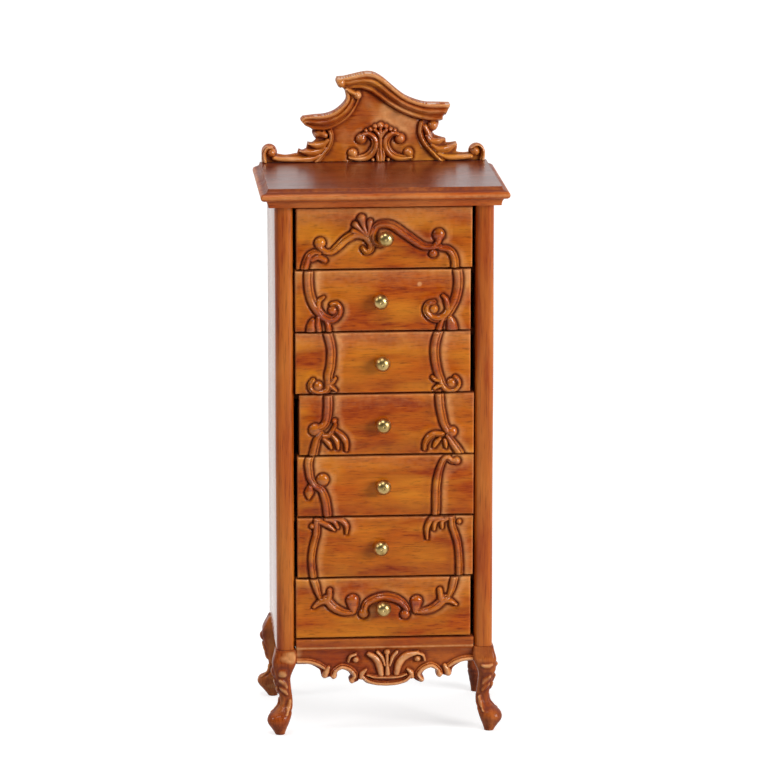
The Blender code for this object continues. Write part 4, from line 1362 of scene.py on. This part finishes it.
half_edge = [(-19.6, APRON_END), (-16.7, 15.6), (-15.2, 15), (-14.2, 14.2), (-13.9, 12.9), (-13.2, 12.3),
             (-12.4, 12.6), (-11.9, 12.7), (-11.3, 12.2), (-10.5, 12.7), (-10.4, 13.9), (-9.3, 14.4),
             (-8.2, 13.9), (-7.4, 12.8), (-7.9, 11.9), (-7.2, 11.1), (-6, 11.6), (-5.3, 12.1), (-4, 11.1),
             (-2, 10.55), (APRON_MIDDLE, 10.35)]
half_edge = smooth_line(half_edge)
other_edge = np.column_stack([2 * APRON_MIDDLE - half_edge[::-1, 0], half_edge[::-1, 1]])[1:]
left_end = [(-BEYOND, BEYOND), (-BEYOND, APRON_END)]
right_end = [(BEYOND, APRON_END), (BEYOND, BEYOND)]
APRON_OUTLINE = np.vstack([left_end, half_edge, other_edge, right_end])
half_scrolls = [
    band([(-19.6, 16.5), (-17, 16.4), (-14.8, 15.8), (-13.3, 14.9)], 1.2, 1.5, 1.2),
    leaf([(-12.4, 14.9), (-12.9, 13.9), (-13.2, 13.1)], 1.0, 1.7, 1.6),
    band([(-11.3, 13), (-11, 14), (-9.5, 15), (-7.6, 14.4), (-6.5, 13), (-7.2, 11.8)],
         1.7, 1.5, 1.6, 1.5, 1.3),
    ball((-11.3, 12.9), 0.85),
    ball((-7.3, 11.8), 0.8),
    ball((-6.4, 16.6), 0.85),
    leaf([(-8, 16.2), (-7.6, 17.3), (-6.4, 17.8)], 0.6, 0.8, 0.7),
    leaf([(-5.3, 12.3), (-5, 13.4), (-4.2, 14.2)], 1.0, 1.4, 0.7),
    band([(-4.9, 12.9), (-3.9, 11.9), (-2, 11.2), (APRON_MIDDLE, 11)], 1.4, 1.3, 1.3),
    band([(-3.9, 13.1), (-2.2, 12.6), (APRON_MIDDLE, 12.5)], 0.7, 1.0, 1.0),
]
apron_strokes = half_scrolls + mirrored(half_scrolls, APRON_MIDDLE)
apron_strokes += [
    leaf([(-3.5, 17.8), (-2.1, 16.9), (-1.2, 15.4), (-0.8, 13.2)], 1.2, 1.9, 2.1, 1.6),
    leaf([(7.2, 17.9), (4.7, 17.2), (3.2, 15.7), (2.6, 13.4)], 1.0, 1.9, 2.1, 1.6),
    leaf([(-1.6, 18.2), (-0.6, 17), (0, 15.2)], 0.9, 1.0, 0.7),
    leaf([(2.6, 18.1), (1.7, 17), (1.1, 15.2)], 0.9, 1.0, 0.7),
    ball((0.5, 18.2), 0.8),
    leaf([(0.5, 17.6), (0.5, 15.6), (0.6, 13.3)], 0.9, 1.0, 1.5),
]
print("apron strokes:", len(apron_strokes))

# %% [markdown]
# ## Heights of the apron
#
# The rail stands forward and drops over a soft ledge to the field below it, where the strokes are carved.
# A smooth step (a logistic curve) makes the ledge, because a hard one would look like two boards.

# %% Heights of the apron
APRON_STEP = 0.11
BELOW_EDGE = 0.6
RAIL_FOOT = 18.9
RAIL_BACK = 0.1
LEDGE_SOFTNESS = 0.26
FIELD_HEIGHT = 2.1
FIELD_RISE = 0.25
FIELD_RUN = 3
APRON_GROOVE = 0.25
APRON_GROOVE_WIDTH = 0.6
APRON_CUT = 0.35
STROKE_FOOT = 1.45
STROKE_RISE = 1.6
APRON_SEED = 12
APRON_EASED = 0.3

apron_low, apron_high = where("front_apron")
across, up = grid(apron_low[[0, 2]] - (0, BELOW_EDGE), apron_high[[0, 2]], APRON_STEP)
distance = np.maximum(outline_distance(across, up, APRON_OUTLINE), up - apron_high[2] - HAIR)
distance = np.maximum(distance, np.abs(across) - apron_high[0] - HAIR)
ledge = 1 / (1 + np.exp(-(up - RAIL_FOOT) / LEDGE_SOFTNESS))
field = FIELD_HEIGHT + FIELD_RISE * np.clip((RAIL_FOOT - up) / FIELD_RUN, 0, 1)
height = field + (apron_high[1] - apron_low[1] - RAIL_BACK - field) * ledge
gap, share = carve(across, up, apron_strokes)
groove = APRON_GROOVE * fall_off(gap, APRON_GROOVE_WIDTH, GROOVE_POWER)
height -= np.where(gap > 0, groove, 0) * (1 - ledge)
height = np.where(gap < 0, np.maximum(height - APRON_CUT, STROKE_FOOT + STROKE_RISE * share), height)
height += GOUGE_WAVES * unevenness(across.shape, GOUGE_WAVE_SIZE / APRON_STEP, APRON_SEED)
height -= eased_edge(distance, APRON_EASED)
print("apron stands up to", round(float(height.max()), 1), "mm before its back")

# %% [markdown]
# ## The apron
#
# The rail and the ground between the strokes are stained darker. A painted highlight runs along the edge
# of the ledge. The crowns of the strokes are rubbed bare, and so are two knocked places near the ends of
# the rail.

# %% Carve the apron
APRON_MASK_DEPTH = 0.4
APRON_STAIN = 0.08
RAIL_STAIN = 0.45
RAIL_STAIN_RUN = 0.5
GROUND_STAIN = 0.32
GROUND_STAIN_RUN = 0.4
# A painted highlight along the rounded edge of the ledge.
LEDGE_HIGHLIGHT = 0.9
LEDGE_HIGHLIGHT_WIDTH = 0.22
LEDGE_EDGE = RAIL_FOOT + 0.5
BARE_CROWNS = 0.8
STROKE_VARNISH = 0.7
# Strength, place and size of the knocks.
KNOCKS = [(1.1, (-19, 18), (0.9, 1.3)), (0.5, (17.8, 18.4), (1.6, 0.5))]

# Painted highlight on the ledge, and wear on the crowns of the strokes and at the knocks.
ledge_highlight_and_wear = LEDGE_HIGHLIGHT * fall_off(up - LEDGE_EDGE, LEDGE_HIGHLIGHT_WIDTH) + BARE_CROWNS * np.clip(2 * share - 1, 0, 1)
for strength, centre, size in KNOCKS:
    ledge_highlight_and_wear += strength * soft_spot(across, up, centre, size)
stained = APRON_STAIN + RAIL_STAIN * np.clip((up - LEDGE_EDGE) / RAIL_STAIN_RUN, 0, 1)
stained += GROUND_STAIN * np.clip(gap / GROUND_STAIN_RUN, 0, 1) * (1 - ledge)
mesh = relief_board("apron", across, up, distance, height, apron_high[1], stained, ledge_highlight_and_wear,
                    STROKE_VARNISH * (gap < 0), mask_depth=APRON_MASK_DEPTH)
place(mesh, "front_apron", apron_wood)
print("apron:", len(mesh.polygons), "faces")

# %% [markdown]
# ## The shape of a leg
#
# A cabriole leg is bandsawn from a square stick, first from the front and then from the side, so its
# sections stay square at the knee and turn round at the foot. Each row below is a section: height, reach
# to the outside, reach to the inside (both from the face of the case), and how square it is.

# %% Sections of a leg
LEG_SECTIONS = [
    (19.1, 0.25, -4.15, 8), (17.9, 0.5, -4.3, 6), (16.3, 0.95, -4.3, 4.5), (15.2, 0.95, -3.9, 4),
    (14.1, 0.88, -3.4, 3.6), (12.5, 0.5, -3.0, 3.0), (10, -0.15, -3.2, 2.7), (7.6, -0.6, -3.5, 2.5),
    (6.3, -0.45, -3.5, 2.4), (5.4, 0.45, -3.4, 2.3), (4.5, 1.7, -3.2, 2.3), (3.5, 2.15, -2.9, 2.2),
    (2.6, 2.0, -2.6, 2.2), (1.6, 1.35, -2.2, 2.1), (0.6, 0.7, -1.85, 2), (0, 0.4, -1.7, 2),
]
LEG_STEP = 0.16
LEG_SIDES = 88


def squared(wave, square):
    """A sine or cosine pushed outwards, so that a ring of them nears a square."""
    return np.sign(wave) * np.abs(wave) ** (2 / square)


leg_turn = np.linspace(0, 2 * np.pi, LEG_SIDES, endpoint=False)[None, :]
level, outer, inner, square = (column[:, None] for column in smooth_line(LEG_SECTIONS, LEG_STEP).T)
half = (outer - inner) / 2
leg_out = inner + half + half * squared(np.cos(leg_turn), square)
leg_front = inner + half + half * squared(np.sin(leg_turn), square)
leg_level = np.broadcast_to(level, leg_out.shape)
print("a leg has", leg_level.shape[0], "rings of", LEG_SIDES, "points")

# %% [markdown]
# ## The carving on a leg
#
# The knee carries a boss or a crossing leaf, and hanging acanthus leaves run down below it on both show
# faces. The strokes are the same kind as on the boards, cut once into the face that looks outwards and
# once into the face that looks to the front or the back. They fade away round the corners.

# %% Carve a leg
KNEE_RISE = 0.6
KNEE_GROOVE = 0.15
KNEE_GROOVE_WIDTH = 0.5
FACE_SPREAD = 2.2
FACE_START = 0.5
ANKLE_DEPTH = 0.14
ANKLE_LEVEL = 5.2
ANKLE_WIDTH = 0.3
CARVING_TOP = 18.6
CARVING_TOP_FADE = 0.8
CARVING_FOOT_FADE = 1.2
CARVING_BLUR = 1.2

leaflets = [
    leaf([(-0.7, 12.4), (-1.5, 11.6), (-2.1, 10.6)], 0.9, 1.5, 0.6),
    leaf([(-0.8, 10.6), (-1.6, 9.9), (-2.2, 9)], 0.8, 1.3, 0.5),
    leaf([(-2.8, 7.6), (-2.5, 6.2), (-2.1, 4.8)], 0.7, 1.1, 0.5),
]
bossed_knee = [ball((-1.2, 14.1), 1.15)] + leaflets
leafy_knee = [leaf([(-0.2, 15.2), (-1.3, 14.8), (-2.4, 15)], 0.5, 1.1, 0.5)] + leaflets


def leg_carving(strokes):
    """How far the carving stands out at each point of a leg."""
    carved = np.zeros_like(leg_out)
    for flat, facing in ((leg_out, np.sin(leg_turn)), (leg_front, np.cos(leg_turn))):
        gap, share = carve(flat, leg_level, strokes)
        groove = -KNEE_GROOVE * fall_off(gap, KNEE_GROOVE_WIDTH, GROOVE_POWER)
        stroke = np.where(gap < 0, KNEE_RISE * share - KNEE_GROOVE, groove)
        carved += stroke * np.clip(FACE_SPREAD * facing - FACE_START, 0, 1)
    carved -= ANKLE_DEPTH * fall_off(leg_level - ANKLE_LEVEL, ANKLE_WIDTH)
    carved *= np.clip((CARVING_TOP - leg_level) / CARVING_TOP_FADE, 0, 1)
    carved *= np.clip(leg_level / CARVING_FOOT_FADE, 0, 1)
    return soften(carved, CARVING_BLUR)


knees = {"left": leg_carving(bossed_knee), "right": leg_carving(leafy_knee)}
print("carving stands out up to", round(float(knees["left"].max()), 2), "mm")

# %% [markdown]
# ## The legs
#
# The four legs are the same leg, each turned to its own corner. Left and right differ in their knees, and
# the right ones are darker, as in the photograph. The rear ones also spread sideways a little, by an amount
# that changes with the height. A pale knock shows on the knees, most on the left ones. `relief` compares
# the carving with its blur, so the glaze gathers beside the leaves.

# %% Make the legs
REAR_STEP_IN = 0.5
# Height, and how far the leg spreads there.
REAR_SPREAD = [(0, 0.0), (3.2, 0.65), (7.8, 0.95), (14.5, 1.0), (17.5, 0.5), (19.1, 0)]
RELIEF_BLUR = 3
HOLLOW_DEPTH = 0.1
WEAR_AND_HIGHLIGHT_DEPTH = 0.15
KNOCK_PLACE = (-3, 17.7)
KNOCK_SIZE = (1.1, 1.1)
KNOCK_STRENGTH = {"left": 1.4, "right": 0.4}
MOTTLE = 0.28
MOTTLE_CELLS = 4.0
MOTTLE_STAIN = {"left": 0.1, "right": 0.38}

side_low, side_high = where("right_side_board")
case_half = side_high[0]
corners = (("front", -1, side_low[1], 0), ("rear", 1, side_high[1] - REAR_STEP_IN, 1))
spread_levels, spreads = np.transpose(REAR_SPREAD)
for end_word, end, corner_y, spread in corners:
    for side_word, side in (("left", -1), ("right", 1)):
        part = f"{end_word}_{side_word}_leg"
        carved = knees[side_word]
        out = leg_out + carved * np.cos(leg_turn) + spread * np.interp(leg_level, spread_levels, spreads)
        front = leg_front + carved * np.sin(leg_turn)
        rings = np.stack([side * (case_half + out), corner_y + end * front, leg_level], axis=-1)
        mesh = loft(part, rings)
        relief = carved - soften(carved, RELIEF_BLUR)
        knocked = KNOCK_STRENGTH[side_word] * soft_spot(out, leg_level, KNOCK_PLACE, KNOCK_SIZE)
        mottle = MOTTLE * unevenness(carved.shape, MOTTLE_CELLS, len(part)) + MOTTLE_STAIN[side_word]
        add_mask(mesh, "glaze_and_shadow", np.clip(mottle - relief / HOLLOW_DEPTH, 0, 1).ravel())
        # Leaves that stand above their blur are paler: wear and painted highlight, with the knocks.
        add_mask(mesh, "wear_and_highlight", np.clip(knocked + relief / WEAR_AND_HIGHLIGHT_DEPTH - mottle, 0, 1).ravel())
        place(mesh, part, leg_wood)
        print(part, len(mesh.polygons), "faces")

# %% [markdown]
# ## The sides
#
# The side boards are thick, and their rounded front edges show as the corner posts. Each is a rounded
# rectangle, lofted from bottom to top. It sways by a few hundredths of a millimetre on the way, because a
# dead straight board catches the light in one flat sheet.

# %% Shape the sides
CORNER_POINTS = 7
POST_RADIUS = 1.45
SIDE_BACK_RADIUS = 0.3
SIDE_RINGS = 60
SWAY = 0.03
SWAY_LENGTH = 9


def rounded_ring(low, high, level, front_radius, back_radius):
    """A level rectangle with round corners, counted from its front left corner."""
    ring = []
    corners = ((low[0], low[1], 180), (high[0], low[1], 270), (high[0], high[1], 0), (low[0], high[1], 90))
    for x, y, start in corners:
        radius = front_radius if y == low[1] else back_radius
        centre_x = x + math.copysign(radius, (low[0] + high[0]) / 2 - x)
        centre_y = y + math.copysign(radius, (low[1] + high[1]) / 2 - y)
        for angle in np.radians(np.linspace(start, start + 90, CORNER_POINTS)):
            ring.append((centre_x + radius * math.cos(angle), centre_y + radius * math.sin(angle), level))
    return ring


for side_word in ("left", "right"):
    part = f"{side_word}_side_board"
    low, high = where(part)
    rings = []
    for level in np.linspace(low[2], high[2], SIDE_RINGS):
        sway = SWAY * math.sin(level / SWAY_LENGTH + len(side_word))
        front_left = (low[0] + sway, low[1] + sway)
        back_right = (high[0] + sway, high[1])
        rings.append(rounded_ring(front_left, back_right, level, POST_RADIUS, SIDE_BACK_RADIUS))
    place(loft(part, rings), part, post_wood)
print("sides shaped, with posts of radius", POST_RADIUS, "mm")

# %% [markdown]
# ## Moulded edges
#
# The cornice and the top are boards with a moulded edge on three sides and a straight back. Both are
# lofted up along a profile of (reach, height). Glaze and painted shade fill the quirk, which is the sharp
# line between two shapes of a moulding; on the cornice it is the top edge, under the overhang of the top
# board. Glaze also darkens what lies above the quirk. The most forward part is rubbed.

# %% Tool for moulded boards
FRONT_CORNER = 0.35
BACK_CORNER = 0.05
QUIRK_WIDTH = 0.16
ABOVE_QUIRK = 0.85
NOSE_RUB = 0.5
NOSE_DEPTH = 0.2


def moulded_board(part, profile, quirk):
    """A board with a profiled edge on the front and sides, and glaze and painted shade at the quirk."""
    low, high = where(part)
    reach, rise = profile.T
    rings = []
    for back, level in zip(reach.max() - reach, low[2] + rise):
        front_left = (low[0] + back, low[1] + back)
        back_right = (high[0] - back, high[1])
        rings.append(rounded_ring(front_left, back_right, level, FRONT_CORNER, BACK_CORNER))
    mesh = loft(part, rings)
    # A dark line of glaze and painted shade at the quirk, and glaze above it.
    glaze_and_shadow = fall_off(rise - quirk, QUIRK_WIDTH) + ABOVE_QUIRK * (rise > quirk)
    wear_and_highlight = NOSE_RUB * np.clip(1 - (reach.max() - reach) / NOSE_DEPTH, 0, 1)
    add_mask(mesh, "glaze_and_shadow", np.repeat(glaze_and_shadow, len(rings[0])))
    add_mask(mesh, "wear_and_highlight", np.repeat(wear_and_highlight, len(rings[0])))
    place(mesh, part, edge_wood)
    return mesh


print("moulded boards have corners of radius", FRONT_CORNER, "mm")

# %% [markdown]
# ## Cornice and top
#
# The cornice is one hollow curve. The top has a round bead below, a quirk, and a cove that runs up to the
# flat. Only that flat has the dark polish, so it gets the second material of its mesh.

# %% Shape the cornice and the top
CORNICE_STEP = 0.12
CORNICE_FOOT = (-0.02, 0)
CORNICE_CURVE = [(0, 0), (0.02, 0.35), (0.12, 0.8), (0.3, 1.2), (0.5, 1.45)]
CORNICE_TOP = (0.5, 1.5)
TOP_UNDERSIDE = (-1.5, 0)
BEAD_RADIUS = 0.8
COVE_STEP = 0.1
COVE_CURVE = [(-0.08, 1.68), (-0.35, 1.75), (-0.62, 1.98), (-0.76, 2.3), (-0.8, 2.52)]
TOP_QUIRK = 1.66
# A last narrow slope before the flat, so that its edge looks eased.
TOP_ARRIS = [(-0.84, 2.58), (-0.92, 2.6)]

cornice_profile = np.vstack([CORNICE_FOOT, smooth_line(CORNICE_CURVE, CORNICE_STEP), CORNICE_TOP])
moulded_board("cornice_board", cornice_profile, CORNICE_TOP[1])
bead = arc((0, BEAD_RADIUS), BEAD_RADIUS, -90, 90)
top_profile = np.vstack([TOP_UNDERSIDE, bead, smooth_line(COVE_CURVE, COVE_STEP), TOP_ARRIS])
top_mesh = moulded_board("top_board", top_profile, TOP_QUIRK)
top_mesh.materials.append(top_wood)
top_mesh.polygons[-1].material_index = 1
print("cornice and top have", len(cornice_profile), "and", len(top_profile), "rings")

# %% [markdown]
# ## The plain inside
#
# Behind the carved pieces the chest is plain joinery: drawer boxes, the boards they run on, a bottom
# and a back. Their frame pieces are already the right shape, so they only need their own wood.

# %% Dress the inside boards
shown = {name for piece in bpy.data.objects for name in piece.get("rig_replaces", [])}
plain = [name for name in frame["nodes"] if name not in shown]
for name in plain:
    board = frame["nodes"][name]
    board.data.materials.clear()
    if name.startswith("drawer"):
        board.data.materials.append(inside_wood)
    else:
        board.data.materials.append(back_wood if "back" in name else carcass_wood)
print("plain boards:", len(plain))

# %% [markdown]
# ## The floor
#
# The photograph is a plain product shot on white, without a horizon. A brightly lit floor would throw its
# light back on the chest, so the paper here is light grey and adds a glow for the camera. Mirror-like rays
# see a share of that glow, less in front of the chest than behind it, and the varnish of the sides shows
# it. No other ray sees the glow, so it throws no light on the chest, and the floor still takes a shadow.

# %% Floor
FLOOR_SIZE = 12.0
PAPER_DARK = (0.53, 0.53, 0.53, 1)
PAPER_LIGHT = (0.56, 0.56, 0.56, 1)
# Metres towards the back between which mirror-like rays see more of the glow, and the shares they see.
MIRROR_RUN = (-0.40, 0.05)
MIRROR_SHARES = (0.12, 0.65)
# Metres from the chest between which the glow grows, and its strengths.
GLOW_RUN = (0.15, 1.2)
GLOW_STRENGTHS = (0.66, 0.88)

bpy.ops.mesh.primitive_plane_add(size=FLOOR_SIZE)
floor = bpy.context.object
floor.name = "floor"
paper = bpy.data.materials.new("White paper")
paper.use_nodes = True
tree = paper.node_tree
tree.nodes.clear()
rays = node(tree, "LightPath").outputs
spot = node(tree, "TexCoord").outputs["Object"]
towards_back = node(tree, "SeparateXYZ", {0: spot}).outputs["Y"]
behind = stretch_range(tree, towards_back, *MIRROR_RUN, *MIRROR_SHARES)
mirror_share = arithmetic(tree, "MULTIPLY", rays["Is Glossy Ray"], behind)
seen = arithmetic(tree, "MAXIMUM", rays["Is Camera Ray"], mirror_share)
fibre = node(tree, "TexNoise", {"Scale": 40.0, "Detail": 2.0}).outputs[0]
matt = node(tree, "BsdfDiffuse", {"Color": colour_mix(tree, fibre, PAPER_DARK, PAPER_LIGHT)}).outputs[0]
far = node(tree, "VectorMath", {0: spot}, operation="LENGTH").outputs["Value"]
lift = arithmetic(tree, "MULTIPLY", seen, stretch_range(tree, far, *GLOW_RUN, *GLOW_STRENGTHS))
glow = node(tree, "Emission", {"Strength": lift}).outputs[0]
both = node(tree, "AddShader", {0: matt, 1: glow}).outputs[0]
node(tree, "OutputMaterial", {"Surface": both})
floor.data.materials.append(paper)
print("floor of", FLOOR_SIZE, "m")

# %% [markdown]
# ## The studio
#
# The room is bright behind the chest and darker behind the camera. The dark part is what gives the brass
# its olive shade, and the bright part whitens the side of the chest. The camera itself sees plain white.

# %% Studio
# How far a direction points to the back where the room is darkest and brightest, and how bright it is.
ROOM_RUN = (0.0, 0.45)
ROOM_LIGHT = (0.10, 0.90)

world = bpy.data.worlds.new("Studio")
bpy.context.scene.world = world
world.use_nodes = True
tree = world.node_tree
tree.nodes.clear()
direction = node(tree, "TexCoord").outputs["Generated"]
towards_back = node(tree, "SeparateXYZ", {0: direction}).outputs["Y"]
room = stretch_range(tree, towards_back, *ROOM_RUN, *ROOM_LIGHT)
strength = arithmetic(tree, "MAXIMUM", room, node(tree, "LightPath").outputs["Is Camera Ray"])
sky = node(tree, "Background", {"Color": (1.0, 1.0, 1.0, 1), "Strength": strength}).outputs[0]
node(tree, "OutputWorld", {"Surface": sky})
print("studio has", len(tree.nodes), "nodes")

# %% [markdown]
# ## The lamps
#
# A large soft box stands in front on the right and does most of the work. One hangs overhead, and a
# weaker one stands high on the left. Each is a square that faces the chest, and together they put the
# sparkles on the knobs. Small hard lamps would draw sharp shadows that the photograph doesn't have.

# %% Lamps
AIM = Vector((0, 0, 70)) * MM
# Place and size in millimetres, and power in watts.
SOFT_BOXES = {
    "Key soft box": ((600, -450, 320), 340, 5.6),
    "Top soft box": ((-120, -240, 900), 300, 2.4),
    "Left soft box": ((-640, -160, 540), 240, 1.6),
}

for name, (spot, size, watts) in SOFT_BOXES.items():
    light = bpy.data.lights.new(name, "AREA")
    light.shape = "SQUARE"
    light.size = size * MM
    light.energy = watts
    lamp = bpy.data.objects.new(name, light)
    lamp.location = Vector(spot) * MM
    lamp.rotation_euler = (AIM - lamp.location).to_track_quat("-Z", "Y").to_euler()
    bpy.context.scene.collection.objects.link(lamp)
print("lamps:", list(SOFT_BOXES))

# %% [markdown]
# ## The camera
#
# The camera stands where the photograph was taken from. Its place and lens were found by matching the
# corners of the case, the top and the feet to the photograph. A long lens from far away keeps the upright
# lines nearly parallel, as they are there.

# %% Camera
CAMERA_PLACE = (-71.1, -956.6, 281.7)
CAMERA_YAW = 4.31
CAMERA_PITCH = -12.16
CAMERA_LENS = 209.06
NEAREST_SEEN = 50

camera = bpy.data.objects.new("Camera", bpy.data.cameras.new("Camera"))
camera.data.lens = CAMERA_LENS
camera.data.clip_start = NEAREST_SEEN * MM
camera.location = Vector(CAMERA_PLACE) * MM
camera.rotation_euler = (math.radians(90 + CAMERA_PITCH), 0, math.radians(-CAMERA_YAW))
bpy.context.scene.collection.objects.link(camera)
bpy.context.scene.camera = camera
bpy.context.scene.view_settings.view_transform = "Standard"
print("camera lens", CAMERA_LENS, "mm")
